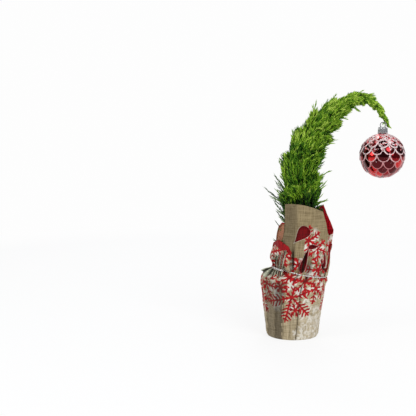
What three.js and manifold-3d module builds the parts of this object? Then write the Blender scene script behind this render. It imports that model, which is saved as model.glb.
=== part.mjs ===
// A small lemon cypress trained as a spiral topiary, in a pot dressed with printed paper.
// A wire wound round the plant binds its needle sprays into a right-handed spiral. The leader is
// bent over in an arch, and a glass-look bauble hangs by its wire loop from the leader's tip.
// Millimetres, +Z up. The origin is the middle of the flat underside, and the arch leans to +X.
import * as THREE from "three";
import Module from "manifold-3d";

const wasm = await Module();
wasm.setup();

// Clearance between pieces that touch on the real thing
const CLEAR = 0.3;

// Pot and soil
const POT_HEIGHT = 70;
const POT_BASE_RADIUS = 31;
const POT_RIM_RADIUS = 38;
const POT_LIP = 1.6;
const POT_LIP_HEIGHT = 7;
const POT_WALL = 1.4;
const POT_LIP_STEP = 0.5;
const POT_LIP_CHAMFER = 0.8;
const SOIL_BELOW_RIM = 7;
const ROUND_SIDES = 24;

// Paper wrap: pleated round the pot, drawn in at the tie, and standing above it as a collar
// whose flaps are given by direction, half width in degrees, flat share, and added size
const PAPER = 1;
const PLEATS = 11;
const PLEAT_SIDES = 4;
const PLEAT_TUCK = 1.7;
const WRAP_FOOT_RADIUS = 33.4;
const WRAP_LOW_RADIUS = 35.2;
const WRAP_SHOULDER_RADIUS = 43;
const NECK_RADIUS = 33.4;
const NECK_OFFSET = 9.5;
const NECK_HEIGHT = 86;
const NECK_TILT = 0.2;
const COLLAR_SIDES = 40;
const COLLAR_ROWS = [0, 0.03, 0.15, 0.45, 0.72, 1];
const COLLAR_LOW = 123;
const COLLAR_REACH = 34;
const COLLAR_FLAPS = [
  { around: -92, half: 52, flat: 0.6, height: 50, reach: 0 },
  { around: 34, half: 38, flat: 0.1, height: 47, reach: 0 },
  { around: 1, half: 24, flat: 0.2, height: 15, reach: 6 },
  { around: 132, half: 34, flat: 0.3, height: 24, reach: 1 },
  { around: -158, half: 22, flat: 0.4, height: 5, reach: 3 },
];
const COLLAR_LEAN = 4;
const COLLAR_RIPPLES = 7;
const COLLAR_RIPPLE = 1.3;
const COLLAR_SWELL = 2.4;
const TIE_RADIUS = 0.8;
const TIE_STEPS = 36;
const TIE_SIDES = 5;

// Stem: points of its middle line in the XZ plane, from the soil to the tip, and its radius along it
const STEM_LINE = [
  [0, 0],
  [5, 46],
  [10, 101],
  [9.5, 158],
  [20, 190],
  [38, 216],
  [62, 238],
  [88, 247],
  [105, 239],
  [116, 223],
  [122, 211],
];
const STEM_RADIUS = [
  [0, 5.2],
  [9, 3.9],
  [100, 3.2],
  [200, 2.2],
  [260, 1.6],
  [300, 1.15],
  [336, 0.7],
];
const STEM_SIDES = 10;
const STEM_STEP = 9;
const ARCH_FROM = 200;
const ARCH_TO = 288;

// Foliage: reach of the sprays from the stem, and length of one turn of the spiral, along the stem.
// Each turn has a smaller core, whose section bulges between the grooves.
const REACH = [
  [35, 15],
  [81, 23],
  [110, 26],
  [150, 25.5],
  [190, 24],
  [215, 21.5],
  [235, 18],
  [252, 13.5],
  [265, 9.8],
  [284, 8.2],
  [300, 5.8],
  [318, 4.3],
  [336, 2.6],
];
const PITCH = [
  [0, 46],
  [140, 46],
  [160, 31],
  [245, 31],
  [336, 11],
];
const FOLIAGE_FROM = 35;
const TURNS = 10;
const TURN_SLOPE = 1.2;
const TURN_GAP = 0.9;
const CORE_SHARE = 0.74;
const CORE_BULGE = [
  [0, 0.82],
  [0.35, 1],
  [0.7, 0.97],
  [1, 0.78],
];
const CORE_SKIN = 0.8;
const CORE_HEART = 0.6;
const SPRAY_SPACING = 235;
const FEWEST_SPRAYS = 9;
const HIDDEN_SHARE = 0.45;
const GOLDEN_SHARE = 0.618;
const SPRAY_LENGTH = [15, 22];
const SPRAY_LEAN = [14, 40];
const SPRAY_ROLL = 0.9;
const SPRAY_WIDTH = 1.5;
const SPRAY_THICKNESS = 1;
const SPRAY_SINK = 2.4;
const SPRAY_TRIES = 6;
const SEED = 4107;

// Loose side shoots: turn, distance along the stem, direction round it, length and lean
const LOOSE_SHOOTS = [
  { turn: 1, up: 62, around: 188, length: 30, lean: 62 },
  { turn: 1, up: 84, around: 204, length: 25, lean: 38 },
  { turn: 2, up: 97, around: 182, length: 31, lean: 47 },
  { turn: 2, up: 112, around: 214, length: 24, lean: 34 },
  { turn: 2, up: 96, around: 352, length: 27, lean: 62 },
  { turn: 2, up: 119, around: 338, length: 22, lean: 44 },
  { turn: 3, up: 128, around: 8, length: 27, lean: 48 },
  { turn: 3, up: 133, around: 122, length: 22, lean: 40 },
];

const LOOSE_ROOT = 0.75;
const LOOSE_FREE = 0.8;
const LOOSE_OFFSHOOT_LENGTH = 0.42;
const LOOSE_OFFSHOOTS = [
  { share: 0.4, spread: 0.35, roll: 1.2 },
  { share: 0.55, spread: -0.3, roll: 0.2 },
  { share: 0.68, spread: 0.22, roll: 2.2 },
];

// Bauble: a thin ball with a neck hole, a cap in the hole and a wire loop on the cap
const BALL_RADIUS = 29.8;
const BALL_WALL = 1.2;
const BALL_CENTRE = new THREE.Vector3(114.4, -2.9, 238.2);
const BALL_NECK_RADIUS = 4.6;
const CAP_RADIUS = 6.3;
const CAP_HEIGHT = 7;
const CAP_PLUG = 4;
const CAP_CHAMFER = 1.2;
const LOOP_RADIUS = 3.45;
const LOOP_WIRE = 0.45;
const PEG_RADIUS = 0.5;
const PEG_FROM_TIP = 5;
const PEG_KNEE = new THREE.Vector3(0.8, 2.1, 1.9);
const PEG_END = new THREE.Vector3(-0.2, -3, 2.6);
const LOOP_SINK = 0.9;
const LOOP_ROOM = 2.2;
const BALL_STEPS = 12;
const BALL_SIDES = 20;

// Value at x of a table of [x, value] rows, straight between the rows
function along(table, x) {
  const last = table.length - 1;
  if (x <= table[0][0]) return table[0][1];
  if (x >= table[last][0]) return table[last][1];
  const i = table.findIndex((row) => row[0] > x);
  const [x0, y0] = table[i - 1];
  const [x1, y1] = table[i];
  return y0 + ((y1 - y0) * (x - x0)) / (x1 - x0);
}

// Seeded random numbers from 0 to 1
function seeded(seed) {
  let state = seed;
  return () => {
    state = (Math.imul(state, 1664525) + 1013904223) >>> 0;
    return state / 4294967296;
  };
}

// A closed skin over rings of points. The rings either form a loop or are capped at both ends.
function loft(rings, loop = false) {
  const points = rings.flat();
  const sides = rings[0].length;
  const faces = [];
  const spans = loop ? rings.length : rings.length - 1;
  for (let i = 0; i < spans; i++) {
    const low = i * sides;
    const high = ((i + 1) % rings.length) * sides;
    for (let j = 0; j < sides; j++) {
      const k = (j + 1) % sides;
      faces.push(low + j, low + k, high + k, low + j, high + k, high + j);
    }
  }
  if (!loop) {
    for (const [ring, first] of [[0, true], [rings.length - 1, false]]) {
      const middle = new THREE.Vector3();
      rings[ring].forEach((p) => middle.addScaledVector(p, 1 / sides));
      points.push(middle);
      for (let j = 0; j < sides; j++) {
        const a = ring * sides + j;
        const b = ring * sides + ((j + 1) % sides);
        faces.push(points.length - 1, first ? b : a, first ? a : b);
      }
    }
  }
  return new THREE.BufferGeometry().setFromPoints(points).setIndex(faces);
}

// A round piece from its profile of [radius, height] points, which starts and ends on the axis
function turned(profile, sides = ROUND_SIDES) {
  return new THREE.LatheGeometry(profile.map(([r, z]) => new THREE.Vector2(r, z)), sides).rotateX(
    Math.PI / 2,
  );
}

// Between three.js geometry and manifold-3d solids
function solidOf(geometry) {
  const flat = geometry.index ? geometry.toNonIndexed() : geometry;
  const position = flat.getAttribute("position");
  const keys = new Map();
  const vertices = [];
  const faces = [];
  for (let i = 0; i < position.count; i++) {
    const p = [position.getX(i), position.getY(i), position.getZ(i)];
    const key = p.map((v) => v.toFixed(4)).join();
    if (!keys.has(key)) {
      keys.set(key, vertices.length / 3);
      vertices.push(...p);
    }
    faces.push(keys.get(key));
  }
  const triVerts = [];
  for (let i = 0; i < faces.length; i += 3) {
    const [a, b, c] = faces.slice(i, i + 3);
    if (a !== b && b !== c && c !== a) triVerts.push(a, b, c);
  }
  const mesh = new wasm.Mesh({
    numProp: 3,
    vertProperties: new Float32Array(vertices),
    triVerts: new Uint32Array(triVerts),
  });
  return new wasm.Manifold(mesh);
}

function geometryOf(solid) {
  const { vertProperties, triVerts } = solid.getMesh();
  return new THREE.BufferGeometry()
    .setAttribute("position", new THREE.BufferAttribute(vertProperties, 3))
    .setIndex(new THREE.BufferAttribute(triVerts, 1));
}

// All pieces joined, less what another solid takes away, with loose scraps left out
function fused(geometries, away = null) {
  const whole = wasm.Manifold.union(geometries.map(solidOf));
  const rest = away ? whole.subtract(away) : whole;
  const bodies = rest.decompose().sort((a, b) => b.volume() - a.volume());
  return geometryOf(bodies[0]);
}

// The stem's middle line, and places round it
const soilTop = PAPER + CLEAR + POT_HEIGHT - SOIL_BELOW_RIM;
const stemCurve = new THREE.CatmullRomCurve3(
  STEM_LINE.map(([x, z]) => new THREE.Vector3(x, 0, z + soilTop + CLEAR)),
);
stemCurve.arcLengthDivisions = 600;
const stemLength = stemCurve.getLength();

function stemAt(s) {
  const t = THREE.MathUtils.clamp(s / stemLength, 0, 1);
  const middle = stemCurve.getPointAt(t);
  const tangent = stemCurve.getTangentAt(t);
  middle.addScaledVector(tangent, s - t * stemLength);
  const across = new THREE.Vector3(tangent.z, 0, -tangent.x);
  return { middle, tangent, across };
}

// Point at distance s along the stem, direction around it (0 is +X, then +Y) and radius from it
function place(s, around, radius) {
  const { middle, across } = stemAt(s);
  return middle
    .addScaledVector(across, radius * Math.cos(around))
    .add(new THREE.Vector3(0, radius * Math.sin(around), 0));
}

function ringAt(s, radius, sides) {
  return Array.from({ length: sides }, (_, i) => place(s, (2 * Math.PI * i) / sides, radius));
}

function limb(from, to, clearance = 0) {
  const steps = Math.ceil((to - from) / STEM_STEP);
  const rings = [];
  for (let i = 0; i <= steps; i++) {
    const s = from + ((to - from) * i) / steps;
    rings.push(ringAt(s, along(STEM_RADIUS, s) + clearance, STEM_SIDES));
  }
  if (from === 0) rings[0].forEach((p) => p.setZ(soilTop + CLEAR));
  return loft(rings);
}

// A straight round rod
function rod(from, to, radius, sides = 8) {
  const length = from.distanceTo(to);
  const turn = new THREE.Quaternion().setFromUnitVectors(
    new THREE.Vector3(0, 1, 0),
    to.clone().sub(from).normalize(),
  );
  return new THREE.CylinderGeometry(radius, radius, length, sides)
    .applyQuaternion(turn)
    .translate(...from.clone().add(to).multiplyScalar(0.5).toArray());
}

// The spiral: distance along the stem of the groove's line at each angle, counted over the turns
const HELIX_STEPS = 24;
const helix = [FOLIAGE_FROM];
for (let i = 0; i < (TURNS + 1) * HELIX_STEPS; i++) {
  helix.push(helix[i] + along(PITCH, helix[i]) / HELIX_STEPS);
}
function grooveAt(angle) {
  const x = (angle / (2 * Math.PI)) * HELIX_STEPS;
  const i = THREE.MathUtils.clamp(Math.floor(x), 0, helix.length - 2);
  return helix[i] + (helix[i + 1] - helix[i]) * (x - i);
}

// Point (radius, s) of a turn's core skin: share 0 is its lower edge and 1 its upper edge
function coreSkin(angle, share) {
  const low = grooveAt(angle) + TURN_GAP / 2;
  const high = grooveAt(angle + 2 * Math.PI) - TURN_GAP / 2;
  let radius = 0;
  let s = low + (high - low) * share;
  for (let i = 0; i < 4; i++) {
    const wanted = CORE_SHARE * along(CORE_BULGE, share) * along(REACH, s);
    radius = Math.max(wanted, along(STEM_RADIUS, s) + CLEAR + CORE_SKIN);
    s = low + (high - low) * share + TURN_SLOPE * radius;
  }
  return { radius, s };
}

function turnCore(turn) {
  const start = 2 * Math.PI * turn;
  const steps = along(REACH, grooveAt(start)) > 10 ? 16 : 8;
  const edge = TURN_GAP / along(REACH, grooveAt(start)) / CORE_SHARE;
  const rings = [];
  for (let i = 0; i <= steps; i++) {
    const angle = start + edge + ((2 * Math.PI - 2 * edge) * i) / steps;
    const skin = CORE_BULGE.map(([share]) => coreSkin(angle, share));
    const inner = CORE_BULGE.map(([share]) => {
      const low = grooveAt(angle) + TURN_GAP / 2;
      const s = low + (grooveAt(angle + 2 * Math.PI) - TURN_GAP / 2 - low) * share;
      const radius = along(STEM_RADIUS, s) * CORE_HEART;
      return { radius, s: s + TURN_SLOPE * radius };
    });
    const section = [...inner, ...skin.reverse()];
    rings.push(section.map((p) => place(p.s, angle, p.radius)));
  }
  return loft(rings);
}

// A flat toothed blade, root at y 0 and tip at y 1, that each needle spray is bent from
const bladeOutline = [
  [-0.6, 0],
  [0.6, 0],
  [1.7, 0.62],
  [0.45, 0.6],
  [0, 1],
  [-1.6, 0.74],
];
const blade = new THREE.ExtrudeGeometry(
  new THREE.Shape(bladeOutline.map(([x, y]) => new THREE.Vector2(x, y))),
  { depth: 1, bevelEnabled: false },
).translate(0, 0, -0.5);

// A spray that leaves (s, around, radius) at a lean from the stem's own direction. Null where it
// would leave the room of its turn or touch the stem.
function spray({ s, around, radius, length, lean, roll, width, turn, loose = false }) {
  const shape = blade.clone();
  const position = shape.getAttribute("position");
  for (let i = 0; i < position.count; i++) {
    const x = position.getX(i) * width;
    const y = position.getY(i) * length;
    const z = position.getZ(i) * SPRAY_THICKNESS * (width / SPRAY_WIDTH);
    const side = x * Math.cos(roll) - z * Math.sin(roll);
    const normal = x * Math.sin(roll) + z * Math.cos(roll);
    const atS = s + y * Math.cos(lean) - normal * Math.sin(lean);
    const atRadius = radius + y * Math.sin(lean) + normal * Math.cos(lean);
    if (atRadius < along(STEM_RADIUS, atS) + CLEAR) return null;
    const atAround = around + side / atRadius;
    const margin = TURN_GAP / 2;
    const straight = atS - TURN_SLOPE * atRadius;
    const free = loose && atRadius > along(REACH, atS) * LOOSE_FREE;
    if (!free) {
      if (straight < grooveAt(atAround) + margin) return null;
      if (straight > grooveAt(atAround + 2 * Math.PI) - margin) return null;
      const edge = margin / atRadius;
      if (atAround < 2 * Math.PI * turn + edge) return null;
      if (atAround > 2 * Math.PI * (turn + 1) - edge) return null;
    }
    const p = place(atS, atAround, atRadius);
    if (nearBauble(p)) return null;
    position.setXYZ(i, p.x, p.y, p.z);
  }
  return shape;
}

const loopCentre = BALL_CENTRE.clone().add(
  new THREE.Vector3(0, 0, BALL_RADIUS + CAP_HEIGHT + LOOP_RADIUS - LOOP_SINK),
);

function nearBauble(p) {
  const nearLoop = p.distanceTo(loopCentre) < LOOP_RADIUS + LOOP_ROOM;
  return nearLoop || p.distanceTo(BALL_CENTRE) < BALL_RADIUS + CAP_HEIGHT;
}

// A loose shoot: a long blade with shorter ones standing off it
function looseShoot({ turn, up, around, length, lean }) {
  const tilt = THREE.MathUtils.degToRad(lean);
  const main = {
    s: up,
    around: 2 * Math.PI * (turn - 1) + THREE.MathUtils.degToRad(around),
    radius: CORE_SHARE * along(REACH, up) * LOOSE_ROOT,
    length,
    lean: tilt,
    roll: SPRAY_ROLL / 2,
    width: SPRAY_WIDTH,
    turn: turn - 1,
    loose: true,
  };
  const offshoots = LOOSE_OFFSHOOTS.map(({ share, spread, roll }) => ({
    ...main,
    s: main.s + length * share * Math.cos(tilt),
    radius: main.radius + length * share * Math.sin(tilt),
    length: length * LOOSE_OFFSHOOT_LENGTH,
    lean: tilt + spread,
    roll,
    width: SPRAY_WIDTH * CORE_SHARE,
  }));
  return [main, ...offshoots].map(spray).filter(Boolean);
}

function foliageTurn(turn) {
  const random = seeded(SEED + 97 * turn);
  const between = (low, high) => low + (high - low) * random();
  const start = 2 * Math.PI * turn;
  const reach = along(REACH, coreSkin(start + Math.PI, 0.5).s);
  const area = 2 * Math.PI * reach * (grooveAt(start + 2 * Math.PI) - grooveAt(start));
  const hidden = turn === 0 ? HIDDEN_SHARE : 0;
  const wanted = Math.max(FEWEST_SPRAYS, Math.round(((1 - hidden) * area) / SPRAY_SPACING));
  const size = Math.min(1, 0.35 + reach / 38);
  const parts = [turnCore(turn)];
  for (let i = 0; i < wanted; i++) {
    const angle = start + 2 * Math.PI * ((0.02 + i * GOLDEN_SHARE + between(-0.03, 0.03)) % 1);
    const height = 0.03 + ((i + between(0, 1)) / wanted) * 0.8;
    for (let tries = 0; tries < SPRAY_TRIES; tries++) {
      const share = hidden + (1 - hidden) * height * (1 - tries / SPRAY_TRIES);
      const root = coreSkin(angle, share);
      const lean = THREE.MathUtils.degToRad(between(...SPRAY_LEAN));
      const grown = spray({
        s: root.s - SPRAY_SINK * size * Math.cos(lean),
        around: angle,
        radius: root.radius - SPRAY_SINK * size * Math.sin(lean),
        length: between(...SPRAY_LENGTH) * size,
        lean,
        roll: between(-SPRAY_ROLL, SPRAY_ROLL),
        width: SPRAY_WIDTH * size * between(0.85, 1.15),
        turn,
      });
      if (grown) {
        parts.push(grown);
        break;
      }
    }
  }
  LOOSE_SHOOTS.filter((shoot) => shoot.turn === turn + 1).forEach((shoot) =>
    parts.push(...looseShoot(shoot)),
  );
  return fused(parts, stemRoom);
}

// The paper's outline seen from above: pleats tucked in at every fourth corner
function pleated(radius, corner, tuck) {
  return corner % PLEAT_SIDES === 0 ? radius - tuck : radius;
}

// The tie's plane is tilted, and lower on the arch's side
function neckHeight(around) {
  return NECK_HEIGHT - NECK_TILT * NECK_RADIUS * Math.cos(around);
}

// Rows of the wrap from the foot to the neck: [share of neck height, radius, share of offset, tuck]
const wrapRows = [
  [0, WRAP_FOOT_RADIUS, 0, 0.3],
  [0.035, WRAP_LOW_RADIUS, 0, 0.7],
  [0.4, 0.55 * WRAP_LOW_RADIUS + 0.45 * WRAP_SHOULDER_RADIUS, 0, 1],
  [0.78, WRAP_SHOULDER_RADIUS, 0, 1],
  [0.88, WRAP_SHOULDER_RADIUS, 0.1, 0.8],
  [0.94, 0.5 * WRAP_SHOULDER_RADIUS + 0.5 * NECK_RADIUS, 0.6, 0.9],
  [0.975, NECK_RADIUS, 1, 1],
  [1, NECK_RADIUS, 1, 1],
];

function wrapRing([share, radius, offset, tuck], inset) {
  const count = PLEATS * PLEAT_SIDES;
  return Array.from({ length: count }, (_, i) => {
    const around = (2 * Math.PI * i) / count;
    const r = pleated(radius, i, PLEAT_TUCK * tuck) - inset;
    const z = Math.max(inset, share * (neckHeight(around) - CLEAR / 2));
    return new THREE.Vector3(NECK_OFFSET * offset + r * Math.cos(around), r * Math.sin(around), z);
  });
}

function potWrap() {
  const outside = wrapRows.map((row) => wrapRing(row, 0));
  const inside = wrapRows.map((row) => wrapRing(row, PAPER));
  return loft([...outside, ...inside.reverse()]);
}

// The collar's standing edge: how much each flap adds to its height and to its reach
function flapShare({ around, half, flat }, degrees) {
  const away = Math.abs(((degrees - around + 540) % 360) - 180) / half;
  return 1 - THREE.MathUtils.smoothstep(away, flat, 1);
}

function collarEdge(degrees) {
  const shares = COLLAR_FLAPS.map((flap) => [flap, flapShare(flap, degrees)]);
  return {
    height: COLLAR_LOW + Math.max(...shares.map(([flap, share]) => flap.height * share)),
    reach: COLLAR_REACH + shares.reduce((sum, [flap, share]) => sum + flap.reach * share, 0),
  };
}

function collarRing(share, inset) {
  return Array.from({ length: COLLAR_SIDES }, (_, i) => {
    const degrees = (360 * i) / COLLAR_SIDES - 180;
    const around = THREE.MathUtils.degToRad(degrees);
    const low = neckHeight(around) + CLEAR / 2;
    const edge = collarEdge(degrees);
    const z = low + (edge.height - low) * share;
    const rise = share > COLLAR_ROWS[1] ? 1 : 0;
    const ripple = COLLAR_RIPPLE * rise * (1 - share) * Math.cos(COLLAR_RIPPLES * around);
    const swell = COLLAR_SWELL * rise * Math.sin(Math.PI * Math.min(1, 1.8 * share));
    const opened = (edge.reach - NECK_RADIUS) * share ** 1.3;
    const r = NECK_RADIUS + opened + ripple + swell - PAPER * inset;
    const middle = NECK_OFFSET + COLLAR_LEAN * share;
    return new THREE.Vector3(middle + r * Math.cos(around), r * Math.sin(around), z);
  });
}

function collar() {
  const outside = COLLAR_ROWS.map((share) => collarRing(share, 0));
  const inside = COLLAR_ROWS.map((share) => collarRing(share, 1)).reverse();
  return loft([...outside, ...inside], true);
}

// A wire drawn tight round the neck
function tie() {
  const rings = Array.from({ length: TIE_STEPS }, (_, i) => {
    const around = (-2 * Math.PI * i) / TIE_STEPS;
    const radius = NECK_RADIUS + CLEAR + TIE_RADIUS;
    return Array.from({ length: TIE_SIDES }, (_, j) => {
      const a = (2 * Math.PI * j) / TIE_SIDES;
      const r = radius + TIE_RADIUS * Math.cos(a);
      const z = neckHeight(around) + TIE_RADIUS * Math.sin(a);
      return new THREE.Vector3(NECK_OFFSET + r * Math.cos(around), r * Math.sin(around), z);
    });
  });
  return loft(rings, true);
}

const potFloor = PAPER + CLEAR;
const potTop = potFloor + POT_HEIGHT;

function pot() {
  const lipFoot = potTop - POT_LIP_HEIGHT;
  const inner = POT_RIM_RADIUS - POT_WALL;
  return turned([
    [0, potFloor],
    [POT_BASE_RADIUS, potFloor],
    [POT_RIM_RADIUS - POT_LIP_STEP, lipFoot],
    [POT_RIM_RADIUS + POT_LIP - POT_LIP_STEP, lipFoot + POT_LIP_CHAMFER],
    [POT_RIM_RADIUS + POT_LIP, potTop],
    [inner, potTop],
    [POT_BASE_RADIUS - POT_WALL, potFloor + POT_WALL],
    [0, potFloor + POT_WALL],
  ]);
}

function soil() {
  const bottom = potFloor + POT_WALL + CLEAR;
  const slope = (POT_RIM_RADIUS - POT_BASE_RADIUS) / (POT_HEIGHT - POT_WALL);
  const gap = POT_WALL + 1.5 * CLEAR;
  const radiusAt = (z) => POT_BASE_RADIUS + slope * (z - potFloor - POT_WALL) - gap;
  return turned([
    [0, bottom],
    [radiusAt(bottom), bottom],
    [radiusAt(soilTop), soilTop],
    [0, soilTop],
  ]);
}

function ball() {
  const neckAngle = Math.asin(BALL_NECK_RADIUS / BALL_RADIUS);
  const arc = (radius, steps) =>
    Array.from({ length: steps + 1 }, (_, i) => {
      const a = Math.PI - ((Math.PI - neckAngle) * i) / steps;
      return [i === 0 ? 0 : radius * Math.sin(a), radius * Math.cos(a)];
    });
  const outside = arc(BALL_RADIUS, BALL_STEPS);
  const inside = arc(BALL_RADIUS - BALL_WALL, BALL_STEPS / 2).reverse();
  return turned([...outside, ...inside], BALL_SIDES).translate(...BALL_CENTRE.toArray());
}

function cap() {
  const foot = BALL_RADIUS + CLEAR;
  const top = BALL_RADIUS + CAP_HEIGHT;
  const plug = BALL_NECK_RADIUS - 2 * CLEAR;
  const body = turned(
    [
      [0, foot - CAP_PLUG],
      [plug, foot - CAP_PLUG],
      [plug, foot],
      [CAP_RADIUS, foot],
      [CAP_RADIUS - CAP_CHAMFER / 3, top - CAP_CHAMFER],
      [CAP_RADIUS - CAP_CHAMFER, top],
      [0, top],
    ],
    BALL_SIDES,
  ).translate(...BALL_CENTRE.toArray());
  const wire = new THREE.TorusGeometry(LOOP_RADIUS, LOOP_WIRE, 6, 20)
    .rotateX(Math.PI / 2)
    .translate(...loopCentre.toArray());
  return fused([body, wire]);
}

// The leader's tip with the short side twig that goes forward through the bauble's loop
function leaderTip(clearance = 0) {
  const hold = stemAt(stemLength - PEG_FROM_TIP).middle;
  const knee = loopCentre.clone().add(PEG_KNEE);
  const end = loopCentre.clone().add(PEG_END);
  const out = knee.clone().sub(end).setLength(PEG_RADIUS);
  return fused([
    limb(ARCH_TO + CLEAR, stemLength, clearance),
    rod(hold, knee, PEG_RADIUS + clearance),
    rod(knee.clone().add(out), end, PEG_RADIUS + clearance),
  ]);
}

const finishes = {
  needles: { color: 0x5f9a1c, roughness: 0.6, metalness: 0 },
  bark: { color: 0x6b4a2e, roughness: 0.9, metalness: 0 },
  soil: { color: 0x2b1d14, roughness: 1, metalness: 0 },
  plastic: { color: 0x2a2a2a, roughness: 0.6, metalness: 0 },
  paper: { color: 0xa8967a, roughness: 0.8, metalness: 0 },
  wire: { color: 0xc9c9c9, roughness: 0.35, metalness: 1 },
  ball: { color: 0x9d1420, roughness: 0.15, metalness: 0.6 },
  silver: { color: 0xd0d0d0, roughness: 0.2, metalness: 1 },
};

const group = new THREE.Group();

function add(name, geometry, finish) {
  const mesh = new THREE.Mesh(
    geometry,
    new THREE.MeshStandardMaterial({ ...finishes[finish], flatShading: true }),
  );
  mesh.name = name;
  group.add(mesh);
}

add("nursery_pot", pot(), "plastic");
add("potting_soil", soil(), "soil");
add("pot_wrap", potWrap(), "paper");
add("wrap_collar", collar(), "paper");
add("neck_tie", tie(), "wire");
add("trunk", limb(0, ARCH_FROM), "bark");
add("leader_arch", limb(ARCH_FROM + CLEAR, ARCH_TO), "bark");
add("leader_tip", leaderTip(), "bark");
const stemRoom = wasm.Manifold.union(
  [
    limb(0, ARCH_FROM, CLEAR),
    limb(ARCH_FROM + CLEAR, ARCH_TO, CLEAR),
    limb(ARCH_FROM - CLEAR, ARCH_FROM + 2 * CLEAR, CLEAR),
    limb(ARCH_TO - CLEAR, ARCH_TO + 2 * CLEAR, CLEAR),
    leaderTip(CLEAR),
  ].map(solidOf),
);
for (let turn = 0; turn < TURNS; turn++) {
  add(`foliage_turn_${String(turn + 1).padStart(2, "0")}`, foliageTurn(turn), "needles");
}
add("bauble_ball", ball(), "ball");
add("bauble_cap", cap(), "silver");

export default group;
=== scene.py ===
import math

import bmesh
import bpy
import numpy as np
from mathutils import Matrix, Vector, noise


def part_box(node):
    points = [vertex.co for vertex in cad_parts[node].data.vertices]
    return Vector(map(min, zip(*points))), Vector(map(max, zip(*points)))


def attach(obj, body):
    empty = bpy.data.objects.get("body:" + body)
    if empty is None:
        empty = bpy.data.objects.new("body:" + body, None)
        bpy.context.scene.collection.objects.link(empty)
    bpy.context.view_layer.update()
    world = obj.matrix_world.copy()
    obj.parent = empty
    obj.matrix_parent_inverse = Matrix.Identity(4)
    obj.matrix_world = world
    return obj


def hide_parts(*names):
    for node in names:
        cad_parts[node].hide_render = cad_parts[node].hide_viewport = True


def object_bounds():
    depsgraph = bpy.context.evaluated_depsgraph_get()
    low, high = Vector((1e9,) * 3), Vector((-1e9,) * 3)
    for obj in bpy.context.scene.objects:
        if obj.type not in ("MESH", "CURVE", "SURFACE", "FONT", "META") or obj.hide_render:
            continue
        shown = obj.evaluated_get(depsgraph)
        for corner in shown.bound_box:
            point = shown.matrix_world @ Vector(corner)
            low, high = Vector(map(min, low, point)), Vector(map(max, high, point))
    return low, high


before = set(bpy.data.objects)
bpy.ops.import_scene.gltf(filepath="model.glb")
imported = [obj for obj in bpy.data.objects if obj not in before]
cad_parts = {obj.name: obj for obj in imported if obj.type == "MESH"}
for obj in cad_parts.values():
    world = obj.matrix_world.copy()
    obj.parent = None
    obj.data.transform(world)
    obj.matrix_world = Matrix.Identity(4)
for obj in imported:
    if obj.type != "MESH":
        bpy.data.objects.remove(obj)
cad_low, cad_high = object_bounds()

# Nursery pot
# A thin pot of dark moulded plastic with a stepped rim, blow moulded in one piece. It stands inside
# the paper and keeps its CAD shape. Handling has left it dusty with fine pale scuffs.
POT_DARK = (0.018, 0.019, 0.018)
POT_SCUFF = (0.075, 0.072, 0.066)
POT_SCUFF_SCALE = 55
POT_GRAIN_SCALE = 1400


class Wire:
    """What a node puts out. Arithmetic on wires adds the Math nodes that work it out."""

    def __init__(self, socket):
        self.socket = socket
        self.tree = socket.id_data

    def __add__(self, other):
        return calc("ADD", self, other)

    def __mul__(self, other):
        return calc("MULTIPLY", self, other)

    def __sub__(self, other):
        return calc("SUBTRACT", self, other)

    def __rsub__(self, other):
        return calc("SUBTRACT", other, self)

    def __truediv__(self, other):
        return calc("DIVIDE", self, other)

    __radd__ = __add__
    __rmul__ = __mul__


def tree_of(*values):
    return next(value.tree for value in values if isinstance(value, Wire))


def set_inputs(sockets, values):
    """Links each named socket to its wire, or sets it to its plain value."""
    for key, value in values.items():
        if isinstance(value, Wire):
            value.tree.links.new(value.socket, sockets[key])
        else:
            sockets[key].default_value = value


def new_material(name, look, *given, **settings):
    """A material whose shader is fed what a look makes in its node tree out of what it is given."""
    made = bpy.data.materials.new(name)
    made.use_nodes = True
    inputs = look(made.node_tree, *given, **settings)
    set_inputs(made.node_tree.nodes["Principled BSDF"].inputs, inputs)
    return made


def add_node(tree, kind, inputs, out=0, **settings):
    made = tree.nodes.new("ShaderNode" + kind)
    for key, value in settings.items():
        setattr(made, key, value)
    set_inputs(made.inputs, inputs)
    return Wire(made.outputs[out])


def calc(operation, *values):
    return add_node(tree_of(*values), "Math", dict(enumerate(values)), operation=operation)


def rise(value, low, high):
    """0 below low, 1 above high and smooth between them. With low above high it falls instead."""
    inputs = {"Value": value, "From Min": low, "From Max": high}
    return add_node(value.tree, "MapRange", inputs, interpolation_type="SMOOTHSTEP")


def blend_colors(share, low, high):
    low, high = ((*color, 1) if isinstance(color, tuple) else color for color in (low, high))
    return add_node(
        tree_of(share, low, high), "Mix", {0: share, 6: low, 7: high}, out=2, data_type="RGBA"
    )


def bump(height, distance, strength=1.0):
    inputs = {"Height": height, "Distance": distance, "Strength": strength}
    return add_node(height.tree, "Bump", inputs)


def object_place(tree):
    return add_node(tree, "TexCoord", {}, out="Object")


def noise_at(place, scale, detail=4.0, roughness=0.5):
    inputs = {"Vector": place, "Scale": scale, "Detail": detail, "Roughness": roughness}
    return add_node(place.tree, "TexNoise", inputs)


def node_group(name, vectors, floats=0):
    """Makes a node group of a function of wires. Called with its vectors and then its floats, the
    group is laid in their node tree and gives its results by name."""

    def grouped(look):
        group = bpy.data.node_groups.new(name, "ShaderNodeTree")
        kinds = ["Vector"] * vectors + ["Float"] * floats
        for kind in kinds:
            group.interface.new_socket(kind, in_out="INPUT", socket_type="NodeSocket" + kind)
        given = group.nodes.new("NodeGroupInput").outputs[: len(kinds)]
        results = look(*map(Wire, given))
        for label in results:
            group.interface.new_socket(label, in_out="OUTPUT", socket_type="NodeSocketFloat")
        set_inputs(group.nodes.new("NodeGroupOutput").inputs, results)

        def lay(*inputs):
            made = tree_of(*inputs).nodes.new("ShaderNodeGroup")
            made.node_tree = group
            set_inputs(made.inputs, dict(enumerate(inputs)))
            return {socket.name: Wire(socket) for socket in made.outputs}

        return lay

    return grouped


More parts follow.
